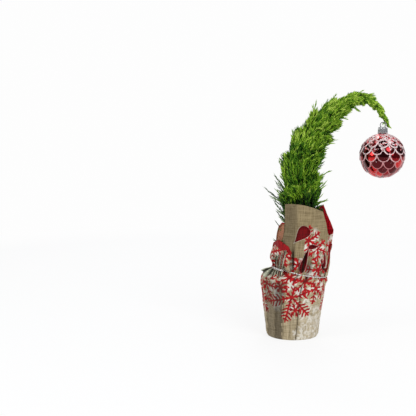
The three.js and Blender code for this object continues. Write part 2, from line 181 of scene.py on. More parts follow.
@node_group("handled_surface", vectors=1, floats=3)
def handled_surface(place_in, patch_scale, grain_scale, grain_detail):
    """Fine grain and drifting patches, for surfaces that have been handled."""
    patches = noise_at(place_in, patch_scale, 6.0, 0.65)
    grain = noise_at(place_in, grain_scale, grain_detail)
    return {"Patches": rise(patches, 0.48, 0.7), "Grain": grain}


def pot_plastic(tree):
    worn = handled_surface(object_place(tree), POT_SCUFF_SCALE, POT_GRAIN_SCALE, 2.0)
    return {
        "Base Color": blend_colors(worn["Patches"], POT_DARK, POT_SCUFF),
        "Roughness": worn["Patches"] * 0.25 + 0.5,
        "Normal": bump(worn["Grain"], 0.0001, 0.5),
    }


def refinish(node, material):
    """Gives a CAD node a better material and leaves its shape alone."""
    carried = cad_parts[node]
    carried.data.materials.clear()
    carried.data.materials.append(material)


refinish("nursery_pot", new_material("pot_plastic", pot_plastic))

# Potting soil
# Moist peat pressed into the pot round the root ball, lumpy on top with some coarse crumbs. It is
# turned as one plug that fills the pot, and its upper face is raised and sunk at random.
SOIL_SEGMENTS = 96
SOIL_RINGS = 40
SOIL_LUMP = 0.0011
SOIL_LUMP_SCALE = 190
SOIL_TAPER = 0.0055
SOIL_DARK = (0.012, 0.008, 0.005)
SOIL_PALE = (0.07, 0.045, 0.026)
soil_low, soil_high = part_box("potting_soil")
SOIL_TOP = soil_high.z
SOIL_RADIUS = soil_high.x


def mesh_of(name, bm):
    mesh = bpy.data.meshes.new(name)
    bm.to_mesh(mesh)
    bm.free()
    return mesh


def add_object(name, data):
    made = bpy.data.objects.new(name, data)
    bpy.context.scene.collection.objects.link(made)
    return made


def finish_object(name, mesh, materials):
    """Makes a mesh's object, smooth and finished, and lets it ride on the plant's one body."""
    for material in materials:
        mesh.materials.append(material)
    mesh.shade_smooth()
    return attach(add_object(name, mesh), "root")


def finish_mesh(name, bm, materials):
    return finish_object(name, mesh_of(name, bm), materials)


def close_seams(bm):
    bmesh.ops.remove_doubles(bm, verts=bm.verts, dist=1e-6)
    bmesh.ops.recalc_face_normals(bm, faces=bm.faces)


def spin_closed(bm, geom, axis, steps):
    """Spins edges once round an axis through the origin and closes the seam."""
    bmesh.ops.spin(
        bm, geom=geom, axis=axis, cent=(0, 0, 0), steps=steps, angle=math.tau, use_merge=True
    )
    close_seams(bm)


def turned(bm, profile, segments):
    """Turns a profile of (radius, height) points round the Z axis."""
    line = [bm.verts.new((radius, 0, height)) for radius, height in profile]
    edges = [bm.edges.new(pair) for pair in zip(line, line[1:])]
    spin_closed(bm, line + edges, (0, 0, 1), segments)


def soil(tree):
    lumps = noise_at(object_place(tree), 420, 8.0, 0.7)
    return {
        "Base Color": blend_colors(rise(lumps, 0.35, 0.75), SOIL_DARK, SOIL_PALE),
        "Roughness": 0.95,
        "Normal": bump(lumps, 0.0012),
    }


def potting_soil():
    bm = bmesh.new()
    rings = [(SOIL_RADIUS * i / SOIL_RINGS, SOIL_TOP) for i in range(SOIL_RINGS + 1)]
    foot = [(0, soil_low.z), (SOIL_RADIUS - SOIL_TAPER, soil_low.z)]
    turned(bm, foot + rings[::-1], SOIL_SEGMENTS)
    for v in bm.verts:
        if v.co.z > SOIL_TOP - 1e-5 and v.co.xy.length < SOIL_RADIUS - 1e-4:
            lumps = noise.fractal(v.co * SOIL_LUMP_SCALE, 0.8, 2.2, 4)
            v.co.z += SOIL_LUMP * (lumps - 0.4)
    return finish_mesh("soil_plug", bm, [new_material("potting_soil", soil)])


soil_plug = potting_soil()
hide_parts("potting_soil")

# Trunk and leader
# One woody stem, flared at its foot, that leans a little, rises through the foliage and bends over
# in an arch to its thin tip. Its reddish bark peels in narrow strips that run along the stem.
CLEAR = 0.0003
# Places (x, height over the soil) that the stem's middle goes through
STEM_LINE = [
    (0, 0), (0.005, 0.046), (0.01, 0.101), (0.0095, 0.158), (0.02, 0.19), (0.038, 0.216),
    (0.062, 0.238), (0.088, 0.247), (0.105, 0.239), (0.116, 0.223), (0.122, 0.211),
]
# Distance up the stem and its radius there
STEM_RADIUS = [
    (0, 0.0052), (0.009, 0.0039), (0.1, 0.0032), (0.2, 0.0022), (0.26, 0.0016), (0.3, 0.00115),
    (0.336, 0.0007),
]
STEM_CURVE_STEPS = 60
STEM_SIDES = 28
STEM_STEP = 0.0012
BARK_STRIPS = 9
BARK_DEPTH = 0.09
# How far the foot spreads as a share of its radius, and the height in which that fades
ROOT_FLARE = (0.16, 0.006)
# Where the young smooth bark starts and over what length, and the heights it turns green between
YOUNG_BARK = (0.24, 0.06)
GREEN_BARK = (0.22, 0.31)
BARK_DARK = (0.045, 0.022, 0.012)
BARK_RED = (0.2, 0.095, 0.048)
BARK_GREEN = (0.1, 0.15, 0.03)


def along(table, x):
    return np.interp(x, *zip(*table))


def stem_samples():
    """Closely spaced points of the stem's middle line: a centripetal curve through STEM_LINE."""
    line = [np.array((x, z + SOIL_TOP + CLEAR)) for x, z in STEM_LINE]
    line = [2 * line[0] - line[1]] + line + [2 * line[-1] - line[-2]]
    t = np.linspace(0, 1, STEM_CURVE_STEPS, endpoint=False)[:, None]
    samples = []
    for a, b, c, d in zip(line, line[1:], line[2:], line[3:]):
        before, here, after = (np.linalg.norm(q - p) ** 0.5 for p, q in ((a, b), (b, c), (c, d)))
        leave = ((b - a) / before - (c - a) / (before + here) + (c - b) / here) * here
        arrive = ((c - b) / here - (d - b) / (here + after) + (d - c) / after) * here
        square = -3 * b + 3 * c - 2 * leave - arrive
        cube = 2 * b - 2 * c + leave + arrive
        samples.append(b + leave * t + square * t**2 + cube * t**3)
    return np.vstack(samples + [line[-2][None]])


stem_points = stem_samples()
stem_steps = np.linalg.norm(np.diff(stem_points, axis=0), axis=1)
stem_places = np.concatenate([[0], np.cumsum(stem_steps)])
STEM_LENGTH = stem_places[-1]
stem_tangents = np.gradient(stem_points, stem_places, axis=0)
stem_tangents /= np.linalg.norm(stem_tangents, axis=1)[:, None]


def stem_at(s):
    """Middle point and the direction across, in the XZ plane, at distance s up the stem."""
    inside = np.clip(s, 0, STEM_LENGTH)
    x, z, tx, tz = (
        np.interp(inside, stem_places, row) for row in (*stem_points.T, *stem_tangents.T)
    )
    zero = np.zeros_like(x)
    middle = np.stack([x, zero, z], -1) + np.stack([tx, zero, tz], -1) * (s - inside)[..., None]
    return middle, np.stack([tz, zero, -tx], -1)


def radial_at(s, around):
    """The direction away from the stem at distance s up it. Around it 0 is +X, then +Y."""
    out = stem_at(s)[1] * np.cos(around)[..., None]
    out[..., 1] += np.sin(around)
    return out


def place(s, around, radius):
    """Points at distance s up the stem, direction around it and radius from it."""
    return stem_at(s)[0] + radial_at(s, around) * radius[..., None]


def move(bm, way):
    bmesh.ops.translate(bm, verts=bm.verts, vec=way)


def sheet_grid(columns, rows):
    """A flat sheet over the unit square with a UV map named flat, and its vertices' places."""
    bm = bmesh.new()
    bm.loops.layers.uv.new("flat")
    bmesh.ops.create_grid(bm, x_segments=columns, y_segments=rows, size=0.5, calc_uvs=False)
    move(bm, (0.5, 0.5, 0))
    return bm, *np.array([v.co[:2] for v in bm.verts]).T


def lay_sheet(bm, points, across, up):
    """Moves each vertex of a sheet to its point and writes its flat place in the UV map."""
    layer = bm.loops.layers.uv["flat"]
    for v, point, *flat in zip(bm.verts, points, across, up):
        v.co = point
        for loop in v.link_loops:
            loop[layer].uv = flat


def cap_ends(bm):
    """Closes a tube's seam and its open ends."""
    close_seams(bm)
    bmesh.ops.holes_fill(bm, edges=[e for e in bm.edges if e.is_boundary])
    close_seams(bm)


def flat_place(tree):
    return add_node(tree, "UVMap", {}, uv_map="flat")


def axes_of(place):
    axes = place.tree.nodes.new("ShaderNodeSeparateXYZ")
    set_inputs(axes.inputs, {"Vector": place})
    return [Wire(axis) for axis in axes.outputs]


def bark(tree):
    strips = add_node(tree, "Mapping", {"Vector": flat_place(tree), "Scale": (1, 0.12, 1)})
    fibres = noise_at(strips, 1500, 6.0, 0.6)
    height = axes_of(object_place(tree))[2]
    aged = blend_colors(rise(fibres, 0.35, 0.65), BARK_DARK, BARK_RED)
    young = rise(noise_at(object_place(tree), 90, 3.0) * 0.06 + height, *GREEN_BARK)
    return {
        "Base Color": blend_colors(young, aged, BARK_GREEN),
        "Roughness": 0.85,
        "Normal": bump(fibres, 0.0004),
    }


def stem_with_bark():
    rows = int(STEM_LENGTH / STEM_STEP)
    bm, u, v = sheet_grid(STEM_SIDES, rows)
    s = v * STEM_LENGTH
    around = math.tau * u
    strips = np.cos(BARK_STRIPS * around + 9 * np.sin(40 * s)) + 0.6 * np.sin(5 * around - 130 * s)
    flare = ROOT_FLARE[0] * np.cos(5 * around) * np.exp(-s / ROOT_FLARE[1])
    young = np.clip((s - YOUNG_BARK[0]) / YOUNG_BARK[1], 0, 1)
    radius = along(STEM_RADIUS, s) * (1 + BARK_DEPTH * (1 - 0.7 * young) * strips / 1.6 + flare)
    points = place(s, around, radius)
    points[v < 1e-6, 2] = SOIL_TOP - SOIL_LUMP
    lay_sheet(bm, points, around * STEM_RADIUS[1][1], s)
    cap_ends(bm)
    return finish_mesh("stem_with_bark", bm, [new_material("bark", bark)])


stem = stem_with_bark()
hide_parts("trunk", "leader_arch", "leader_tip")

# Foliage
# Ten turns of cypress shoots, bound round the stem in a rising spiral. From the stem grow boughs,
# from each bough's end twigs, and from each twig a spray of cord-like scale needles with short
# side branchlets. Sprays point up the stem, swell out between the grooves and are drawn in at them.
# Distance up the stem, and the foliage's radius or the height of one turn of the spiral there
REACH = [
    (0.035, 0.015), (0.081, 0.023), (0.11, 0.026), (0.15, 0.0255), (0.19, 0.024), (0.215, 0.0215),
    (0.235, 0.018), (0.252, 0.0135), (0.265, 0.0098), (0.284, 0.0082), (0.3, 0.0058),
    (0.318, 0.0043), (0.336, 0.0026),
]
PITCH = [(0, 0.046), (0.14, 0.046), (0.16, 0.031), (0.245, 0.031), (0.336, 0.011)]
FOLIAGE_FROM = 0.035
TURNS = 10
TURN_SLOPE = 1.2
# Share of the way over a turn, past 1 where its tips hang over the next turn, and share of the reach
BULGE = [(0, 0.66), (0.2, 0.8), (0.5, 0.97), (0.85, 1.05), (1, 1.02), (1.15, 0.9)]
SKIN_FUZZ = 0.001
HELIX_STEPS = 24
SEED = 4107
SPRAY_SPACING = 4.4e-6
SPRAYS_ON_BOUGH = 10
BOUGH_SPREAD = 0.0056
GOLDEN_SHARE = 0.618034
HIDDEN_SHARE = 0.45
SPRAY_LENGTH = (0.012, 0.024)
SPRAY_LEAN = (4, 32)
SPRAY_RINGS = 5
FILAMENT = 0.0005
KNOBS = 0.14
STEM_GAP = 0.0008
BOUGH_RADIUS = 0.0007
TWIG_RADIUS = 0.00052
TWIG_BOW = 0.0006
TWIG_OVERLAP = 0.001
SPRAY_SWAY = 0.12
SPRAY_CURL = 0.3
SPRAY_LIFT = (-0.1, 0.45)
BRAID_THICKENING = 0.8
BRAIDED_FROM = (0.265, 0.3)
BRANCHLETS = 6
BRANCHLET_LENGTH = (0.005, 0.0095)
BRANCHLET_SPREAD = (9, 25)
# Some sprays stay inside and some stick out. Where sprays root and end, as shares of the reach
INNER_SHARE = 0.28
RAGGED_SHARE = 0.16
INNER_ROOTS = (0.45, 0.66)
OUTER_ROOTS = (0.66, 0.84)
INNER_LIMIT = 0.84
OUTER_LIMIT = (0.9, 1.05)
RAGGED_LIMIT = (1.08, 1.24)
TIP_FLARE = 0.09
BALL_ROOM = 0.0035
# Greens of the needles from shade to lime, and two of the old blue-green growth
GREENS = [
    (10, 28, 3), (23, 55, 7), (43, 88, 12), (73, 124, 18), (114, 156, 30), (146, 186, 50),
    (182, 212, 86), (46, 82, 34), (120, 148, 90),
]
SHADE_GREEN, LIME_GREEN, BLUE_GREEN, PALE_BLUE_GREEN = 0, 6, 7, 8
# Distance up the stem and the usual green there, as a place in the list of greens
HUE_UP_THE_STEM = [
    (0.04, -0.4), (0.09, 0.3), (0.105, 1.4), (0.125, 3.8), (0.16, 3.1), (0.2, 4.1), (0.25, 4.5),
    (0.336, 4.9),
]
# How far it strays from bough to bough and from spray to spray, and what is added to it for sprays
# inside, in the groove and sticking out. What is taken off inside and in the groove is painted shade.
HUE_STRAY = (0.3, 1.15)
HUE_SHIFTS = (-1.8, -1.4, 0.5)
OVERHANG = 1.03

helix = [FOLIAGE_FROM]
for _ in range((TURNS + 1) * HELIX_STEPS):
    helix.append(helix[-1] + along(PITCH, helix[-1]) / HELIX_STEPS)


def smooth(x, low, high):
    t = np.clip((x - low) / (high - low), 0, 1)
    return t * t * (3 - 2 * t)


def groove_at(angle):
    return np.interp(angle / math.tau * HELIX_STEPS, np.arange(len(helix)), helix)


def skin_radius(s, share):
    return along(BULGE, share) * (along(REACH, s) - SKIN_FUZZ)


def skin_at(angle, share):
    """Distance up the stem and radius of the foliage's surface, share of the way over its turn."""
    low, high = groove_at(angle), groove_at(angle + math.tau)
    straight = low + (high - low) * share
    radius = 0
    for _ in range(4):
        radius = skin_radius(straight + TURN_SLOPE * radius, share)
    return straight + TURN_SLOPE * radius, radius


def share_at(s, angle, radius):
    low, high = groove_at(angle), groove_at(angle + math.tau)
    return (s - TURN_SLOPE * radius - low) / (high - low)


def unit(vectors):
    return vectors / np.maximum(np.linalg.norm(vectors, axis=-1, keepdims=True), 1e-12)


def srgb(*color):
    """Red, green and blue from 0 to 255 as a shader's linear colour."""
    return tuple((c / 255 / 12.92) if c < 11 else ((c / 255 + 0.055) / 1.055) ** 2.4 for c in color)


def plain_green(tree, *color):
    return {"Base Color": (*srgb(*color), 1), "Roughness": 0.55, "Specular IOR Level": 0.2}


greens = [new_material(f"needles_{i}", plain_green, *color) for i, color in enumerate(GREENS)]


class Tubes:
    """Closed thin tubes gathered from arrays, to be joined into one mesh."""

    def __init__(self):
        self.verts, self.faces, self.tones, self.count = [], [], [], 0

    def add(self, path, radius, facing, tones, sides=3):
        """path holds each tube's points, from its root to its pointed tip, as [tube, point, xyz].

        tones are the tube's material at its root, its middle and its tip."""
        tubes, points = path.shape[:2]
        rings = points - 1
        tangent = unit(np.gradient(path, axis=1)[:, :rings])
        side = unit(np.cross(tangent, facing[:, None]))
        normal = np.cross(tangent, side)
        turn = (math.tau * np.arange(sides) / sides)[:, None]
        out = np.cos(turn) * side[:, :, None] + np.sin(turn) * normal[:, :, None]
        ring = path[:, :rings, None] + radius[:, :rings, None, None] * out
        verts = np.concatenate([ring.reshape(tubes, -1, 3), path[:, rings:]], 1)
        faces, zones = [], []
        for i in range(rings):
            zone = 0 if i < 0.3 * rings else 2 if i >= 0.6 * rings else 1
            for j in range(sides):
                a, b = i * sides + j, i * sides + (j + 1) % sides
                if i < rings - 1:
                    faces += [(a, b, b + sides), (a, b + sides, a + sides)]
                    zones += [zone] * 2
                else:
                    faces += [(a, b, rings * sides)]
                    zones += [zone]
        faces += [(0, j + 1, j) for j in range(1, sides - 1)]
        zones += [0] * (sides - 2)
        start = self.count + verts.shape[1] * np.arange(tubes)[:, None, None]
        self.verts.append(verts.reshape(-1, 3))
        self.faces.append((np.array(faces)[None] + start).reshape(-1, 3))
        self.tones.append(np.stack(tones, 1)[:, zones].reshape(-1))
        self.count += tubes * verts.shape[1]

    def joined(self, name, materials):
        verts, faces = np.vstack(self.verts), np.vstack(self.faces)
        mesh = bpy.data.meshes.new(name)
        mesh.vertices.add(len(verts))
        mesh.vertices.foreach_set("co", verts.astype(np.float32).ravel())
        mesh.loops.add(faces.size)
        mesh.loops.foreach_set("vertex_index", faces.astype(np.int32).ravel())
        mesh.polygons.add(len(faces))
        mesh.polygons.foreach_set("loop_start", np.arange(0, faces.size, 3, dtype=np.int32))
        made = finish_object(name, mesh, materials)
        mesh.polygons.foreach_set("material_index", np.concatenate(self.tones).astype(np.int32))
        mesh.update(calc_edges=True)
        return made


BALL_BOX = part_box("bauble_ball")
BALL_CENTRE = np.array((BALL_BOX[0] + BALL_BOX[1]) / 2)
BALL_RADIUS = (BALL_BOX[1].z - BALL_BOX[0].z) / 2
CAP_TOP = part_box("bauble_cap")[1].z


def clear_of_bauble(points):
    """True for each path that keeps out of the bauble's and its loop's room."""
    off_ball = np.linalg.norm(points - BALL_CENTRE, axis=-1) > BALL_RADIUS + 2 * BALL_ROOM
    loop = np.array((BALL_CENTRE[0], BALL_CENTRE[1], CAP_TOP - BALL_ROOM))
    off_loop = np.linalg.norm(points - loop, axis=-1) > 2 * BALL_ROOM - 0.0012
    return (off_ball & off_loop).all(-1)


def spray_paths(random, root, length, lean, sway, limit):
    """Middle lines of sprays: distances up the stem, directions around it and radii, as root has them
    for their roots. A limit is the share of the foliage's reach that a spray keeps within."""
    s, around, radius = (x[:, None] for x in root)
    count = len(s)
    t = np.linspace(0, 1, SPRAY_RINGS + 1)[None]
    sway = (sway + random.normal(0, SPRAY_SWAY, count))[:, None]
    curl = random.normal(0, SPRAY_CURL, count)[:, None]
    lift = random.uniform(*SPRAY_LIFT, count)[:, None]
    run = length[:, None] * t
    path_s = s + run * np.cos(lean)[:, None]
    path_r = radius + run * (np.sin(lean)[:, None] + lift * t * 0.35)
    path_r = np.maximum(path_r, along(STEM_RADIUS, path_s) + STEM_GAP)
    path_a = around + run * (sway + curl * t) / np.maximum(path_r, 0.004)
    if limit is not None:
        for _ in range(3):
            share = share_at(path_s, path_a, path_r)
            inside = skin_radius(path_s, share) * limit[:, None] * (1 + TIP_FLARE * t**2)
            path_r = np.where(path_r > inside, 0.85 * inside + 0.15 * path_r, path_r)
    return path_s, path_a, path_r


def grow_sprays(needles, random, root, length, lean, sway, limit, tone, size, branchlets, old=False):
    """Sprays that leave their roots at a lean from the stem's direction, with their branchlets."""
    path_s, path_a, path_r = spray_paths(random, root, length, lean, sway, limit)
    path = place(path_s, path_a, path_r)
    out = radial_at(path_s, path_a)
    keep = clear_of_bauble(path)
    path, out, tone, size, s = (x[keep] for x in (path, out, tone, size, root[0]))
    count = len(path)
    if not count:
        return
    lowest, highest = (BLUE_GREEN, PALE_BLUE_GREEN) if old else (SHADE_GREEN, LIME_GREEN)
    # The root of each spray, deep in the foliage, is two greens darker: painted shade.
    root_tone = np.maximum(tone - 2, lowest)
    tip_tone = np.minimum(tone + (random.uniform(0, 1, count) < 0.7), highest)
    braided = smooth(s, *BRAIDED_FROM)
    thick = FILAMENT * (0.5 + 0.5 * size + BRAID_THICKENING * braided)
    thick *= random.uniform(0.85, 1.15, count)
    knobs = 1 + KNOBS * np.cos(math.pi * np.arange(SPRAY_RINGS + 1))
    taper = thick[:, None] * np.linspace(1.1, 0.75, SPRAY_RINGS + 1) * knobs
    needles.add(path, taper, out[:, 0], [root_tone, tone, tip_tone])
    tangent = unit(np.gradient(path, axis=1))
    side = unit(np.cross(tangent, out))
    normal = np.cross(side, tangent)
    roll = random.uniform(-0.7, 0.7, count)
    rows = np.arange(count)
    for j in range(branchlets):
        at = 0.12 + 0.74 * (j + random.uniform(0, 0.6, count)) / branchlets
        x = at * SPRAY_RINGS
        i = np.minimum(x.astype(int), SPRAY_RINGS - 1)
        part = (x - i)[:, None]
        base = path[rows, i] * (1 - part) + path[rows, i + 1] * part
        way = tangent[rows, i]
        turn = roll + random.normal(0, 0.5, count) + (math.pi if j % 2 else 0)
        aside = side[rows, i] * np.cos(turn)[:, None] + normal[rows, i] * np.sin(turn)[:, None]
        spread = np.radians(random.uniform(*BRANCHLET_SPREAD, count) * (1 - 0.5 * braided))[:, None]
        reach = random.uniform(*BRANCHLET_LENGTH, count) * size * (1.15 - 0.55 * at)
        first = way * np.cos(spread) + aside * np.sin(spread)
        last = way * np.cos(spread * 0.3) + aside * np.sin(spread * 0.3)
        knee = base + first * (0.5 * reach)[:, None]
        tip = knee + last * (0.5 * reach)[:, None]
        branchlet = np.stack([base, knee, tip], 1)
        width = np.stack([thick * 0.78, thick * 0.84, thick * 0], 1)
        fits = clear_of_bauble(branchlet)
        paler = np.minimum(tone + (random.uniform(0, 1, count) < 0.45), highest)
        # Branchlets near a spray's root are a green darker: painted shade.
        darker = np.maximum(tone - (at < 0.35), lowest)
        shades = [x[fits] for x in (darker, tone, paler)]
        needles.add(branchlet[fits], width[fits], out[rows, i][fits], shades)


def grow_wood(twigs, random, angle, s, radius, size, rows, root):
    """Boughs that rise from the stem to their hubs, and twigs from the hubs to the sprays' roots."""
    hub_r = np.maximum(radius * 0.5, along(STEM_RADIUS, s) + STEM_GAP)
    hub_s = s - TURN_SLOPE * (radius - hub_r) - 0.007 * size
    foot_r = along(STEM_RADIUS, hub_s) * 0.7
    foot_s = hub_s - 1.1 * (hub_r - foot_r)
    t = np.linspace(0, 1, 5)[None]
    bough_s = foot_s[:, None] + (hub_s - foot_s)[:, None] * t**1.15
    bough_r = foot_r[:, None] + (hub_r - foot_r)[:, None] * t
    wander = random.normal(0, 0.12, len(s))[:, None]
    bough_a = angle[:, None] + wander * np.sin(math.pi * t)
    thick = BOUGH_RADIUS * size[:, None] * np.linspace(1.25, 0.7, 5)
    path = place(bough_s, bough_a, bough_r)
    keep = clear_of_bauble(path)
    wood = [np.zeros(keep.sum(), int)] * 3
    twigs.add(path[keep], thick[keep], radial_at(bough_s, bough_a)[keep, 0], wood, sides=5)
    hub, ends = path[rows, 3], place(*root)
    way = unit(ends - hub)
    line = np.stack([hub, 0.5 * (hub + ends) + TWIG_BOW * way, ends + TWIG_OVERLAP * way], 1)
    slim = TWIG_RADIUS * size[rows][:, None] * np.array([[1.0, 0.9, 0.6]])
    keep = clear_of_bauble(line)
    wood = [np.ones(keep.sum(), int)] * 3
    twigs.add(line[keep], slim[keep], radial_at(*root[:2])[keep], wood)


def foliage_turn(turn):
    """One turn of the spiral: boughs, twigs and their sprays of needles."""
    random = np.random.default_rng(SEED + 97 * turn)
    start = math.tau * turn
    _, reach = skin_at(np.array([start + math.pi]), np.array([0.5]))
    area = math.tau * reach[0] * (groove_at(start + math.tau) - groove_at(start))
    hidden = HIDDEN_SHARE if turn == 0 else 0
    spacing = SPRAY_SPACING * (0.45 + 0.55 * min(1, reach[0] / 0.018))
    boughs = max(9, round((1 - 0.6 * hidden) * area / spacing / SPRAYS_ON_BOUGH))
    index = np.arange(boughs)
    angle = start + math.tau * ((0.02 + index * GOLDEN_SHARE) % 1)
    share = (index + random.uniform(0, 1, boughs)) / boughs * 0.94 - 0.04
    share = hidden * 0.6 + (1 - hidden * 0.6) * share
    size = np.minimum(1, 0.3 + along(REACH, skin_at(angle, share)[0]) / 0.034)
    needles, twigs = Tubes(), Tubes()
    rows = np.repeat(index, SPRAYS_ON_BOUGH)
    count = len(rows)
    s, radius = skin_at(angle, share)
    spread = BOUGH_SPREAD * size[rows]
    root_angle = angle[rows] + random.normal(0, 1, count) * spread / radius[rows]
    root_share = share[rows] + random.normal(0, 1, count) * spread / (0.6 * along(PITCH, s[rows]))
    inner = random.uniform(0, 1, count) < INNER_SHARE
    ragged = (random.uniform(0, 1, count) < RAGGED_SHARE) & ~inner
    depth = np.where(inner, random.uniform(*INNER_ROOTS, count), random.uniform(*OUTER_ROOTS, count))
    skin_s, skin_r = skin_at(root_angle, np.clip(root_share, -0.05, 0.93))
    root_r = np.maximum(skin_r * depth, along(STEM_RADIUS, skin_s) + 1.5 * STEM_GAP)
    root_s = skin_s - TURN_SLOPE * (skin_r - root_r) - 0.005 * size[rows]
    tuft_lean = np.radians(random.uniform(*SPRAY_LEAN, boughs))[rows]
    topmost = smooth(root_share, 0.5, 0.95)
    lean = tuft_lean + random.normal(0, 0.12, count) + 0.22 * ragged + 0.4 * topmost
    tuft_sway = random.normal(0, 0.15, boughs) + 0.16 * np.sin(3.0 * angle + 40 * s)
    length = random.uniform(*SPRAY_LENGTH, count) * size[rows]
    pitch = groove_at(root_angle + math.tau) - groove_at(root_angle)
    room = (OVERHANG + random.uniform(-0.08, 0.08, count) - root_share) * pitch
    length = np.minimum(length, np.maximum(room, 0.4 * length))
    limit = np.where(inner, INNER_LIMIT, random.uniform(*OUTER_LIMIT, count) + 0.1 * topmost)
    limit = np.where(ragged, random.uniform(*RAGGED_LIMIT, count), limit)
    hue = along(HUE_UP_THE_STEM, root_s) + random.normal(0, HUE_STRAY[0], boughs)[rows]
    hue += random.normal(0, HUE_STRAY[1], count)
    # Sprays inside and sprays rooted in the groove get darker greens: painted shade.
    hue += np.dot(HUE_SHIFTS, [inner, root_share < 0.14, ragged])
    tone = np.clip(np.round(hue), SHADE_GREEN, LIME_GREEN).astype(int)
    root = (root_s, root_angle, root_r)
    grow_sprays(
        needles, random, root, length, lean, tuft_sway[rows], limit, tone, size[rows], BRANCHLETS
    )
    grow_wood(twigs, random, angle, s, radius, size, rows, root)
    return needles, twigs


# Loose shoots that stand off the column: distance up the stem of the tip, direction in degrees,
# distance of the tip from the stem, length, and whether they are old blue-green growth
LOOSE_SHOOTS = [
    (0.06, 184, 0.036, 0.03, True), (0.064, 206, 0.034, 0.028, True),
    (0.084, 178, 0.031, 0.03, True), (0.102, 190, 0.033, 0.034, True),
    (0.114, 182, 0.038, 0.038, True), (0.121, 200, 0.037, 0.036, True),
    (0.136, 184, 0.046, 0.046, True), (0.143, 196, 0.035, 0.036, True),
    (0.15, 180, 0.035, 0.034, True), (0.096, 214, 0.033, 0.03, True),
    (0.132, 170, 0.032, 0.03, False), (0.116, 354, 0.036, 0.0225, False),
    (0.126, 10, 0.029, 0.024, False), (0.128, 346, 0.027, 0.026, False),
    (0.141, 4, 0.034, 0.032, False), (0.16, 358, 0.038, 0.036, False),
    (0.164, 184, 0.029, 0.026, False), (0.173, 176, 0.028, 0.024, False),
    (0.198, 186, 0.029, 0.026, False), (0.198, 4, 0.023, 0.022, False),
    (0.217, 356, 0.027, 0.026, False), (0.238, 184, 0.027, 0.026, False),
    (0.236, 8, 0.02, 0.02, False), (0.257, 350, 0.018, 0.02, False),
    (0.258, 178, 0.015, 0.018, False), (0.278, 356, 0.0158, 0.017, False),
    (0.288, 184, 0.0092, 0.014, False), (0.297, 176, 0.0092, 0.013, False),
    (0.15, 90, 0.034, 0.032, False), (0.126, 120, 0.036, 0.036, True),
    (0.112, 66, 0.035, 0.034, True), (0.182, 74, 0.029, 0.026, False),
    (0.21, 110, 0.026, 0.024, False), (0.134, 268, 0.031, 0.03, False),
]
# Each is a tuft of three sprays: their spread to the side, share of the length and shift of the root
SHOOT_TUFT = [(0, 1, 0), (0.2, 0.7, 0.002), (-0.17, 0.6, -0.003)]
YOUNG_TONES = (4, 5, 3)
OLD_TONES = (BLUE_GREEN, PALE_BLUE_GREEN, BLUE_GREEN)
SHOOT_BRANCHLETS = 11


def loose_shoots(needles, turn):
    random = np.random.default_rng(SEED + 11 * turn)
    for tip_s, around, tip_r, length, old in LOOSE_SHOOTS:
        if int(np.searchsorted(groove_at(math.tau * np.arange(1, TURNS)), tip_s)) != turn:
            continue
        spread, share, shift = np.array(SHOOT_TUFT).T
        same = np.ones(len(SHOOT_TUFT))
        root_r = 0.55 * along(REACH, tip_s - 0.7 * length)
        lean = math.asin(min(0.95, (tip_r - root_r) / length))
        root_s = tip_s - length * math.cos(lean)
        root = (root_s + shift, np.radians(around) + spread * 0.5, root_r * same)
        tone = np.array(OLD_TONES if old else YOUNG_TONES)
        size = min(1.25, 0.45 + length / 0.035) * same
        lean = lean + spread
        grow_sprays(
            needles, random, root, share * length, lean, 0 * same, None, tone, size, SHOOT_BRANCHLETS, old
        )


def twig_wood(tree, color):
    fibres = noise_at(object_place(tree), 900, 3.0)
    brown = blend_colors(fibres, tuple(0.55 * c for c in color), color)
    return {"Base Color": brown, "Roughness": 0.8}


twig_woods = [
    new_material("bough_bark", twig_wood, (0.16, 0.085, 0.04)),
    new_material("green_twig", twig_wood, (0.10, 0.15, 0.03)),
]

for turn in range(TURNS):
    needles, twigs = foliage_turn(turn)
    loose_shoots(needles, turn)
    node = f"foliage_turn_{turn + 1:02d}"
    sprays = needles.joined(f"needles_turn_{turn + 1:02d}", greens)
    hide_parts(node)
    boughs = twigs.joined(f"twigs_turn_{turn + 1:02d}", twig_woods)
    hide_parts(node)

# Paper wrap
# One sheet of stiff gift paper, woven-look linen outside and plain red inside, folded under the pot
# and drawn up round it in knife pleats. It is printed with red snowflakes on frosted patches, and
# low down with pale lace ones.
NECK_RADIUS = 0.0334
NECK_OFFSET = 0.0095
NECK_HEIGHT = 0.086
NECK_TILT = 0.2
PAPER_THICKNESS = 0.00045
# Share of the way up to the tie, radius, and share of the neck's offset
WRAP_ROWS = [
    (0, 0.0338, 0), (0.035, 0.0352, 0), (0.4, 0.0387, 0), (0.78, 0.043, 0), (0.88, 0.0428, 0.1),
    (0.94, 0.0385, 0.6), (0.985, 0.0334, 1), (1, 0.0334, 1),
]
WRAP_COLUMNS = 320
WRAP_ROWS_UNDER = 8
WRAP_ROWS_UP = 84
FOOT_ROUNDING = 0.0012
# Direction in degrees at the foot, depth, how far the pleat slants round by the tie, and how much painted
# shade the panel past it has
PLEATS = [
    (-163, 0.0024, 8, 0.56), (-138, 0.003, 14, 0.7), (-119, 0.003, 8, 0.06),
    (-104, 0.0018, 5, 0.26), (-89, 0.0042, 9, 0.0), (-52, 0.0018, -3, 0.12), (-30, 0.0034, -4, 0.0),
    (-6, 0.0026, 4, 0.3), (22, 0.0022, -6, 0.05), (52, 0.003, 5, 0.12), (84, 0.0024, -4, 0.05),
    (112, 0.0034, 6, 0.16), (140, 0.0022, -6, 0.08), (170, 0.003, 5, 0.28),
]
PLEAT_GROOVE = 2.6
PLEAT_WIDTH = 15
PANEL_FLATNESS = 0.75
GATHERS = 21
GATHER_DEPTH = 0.0022
# Scale and depth of coarse and of fine handling creases, and how far the paper between stands out
WRAP_CREASES = [(42, 0.0013), (110, 0.0005), 0.0004]
LINEN_DARK = srgb(140, 125, 96)
LINEN_PALE = srgb(190, 174, 142)
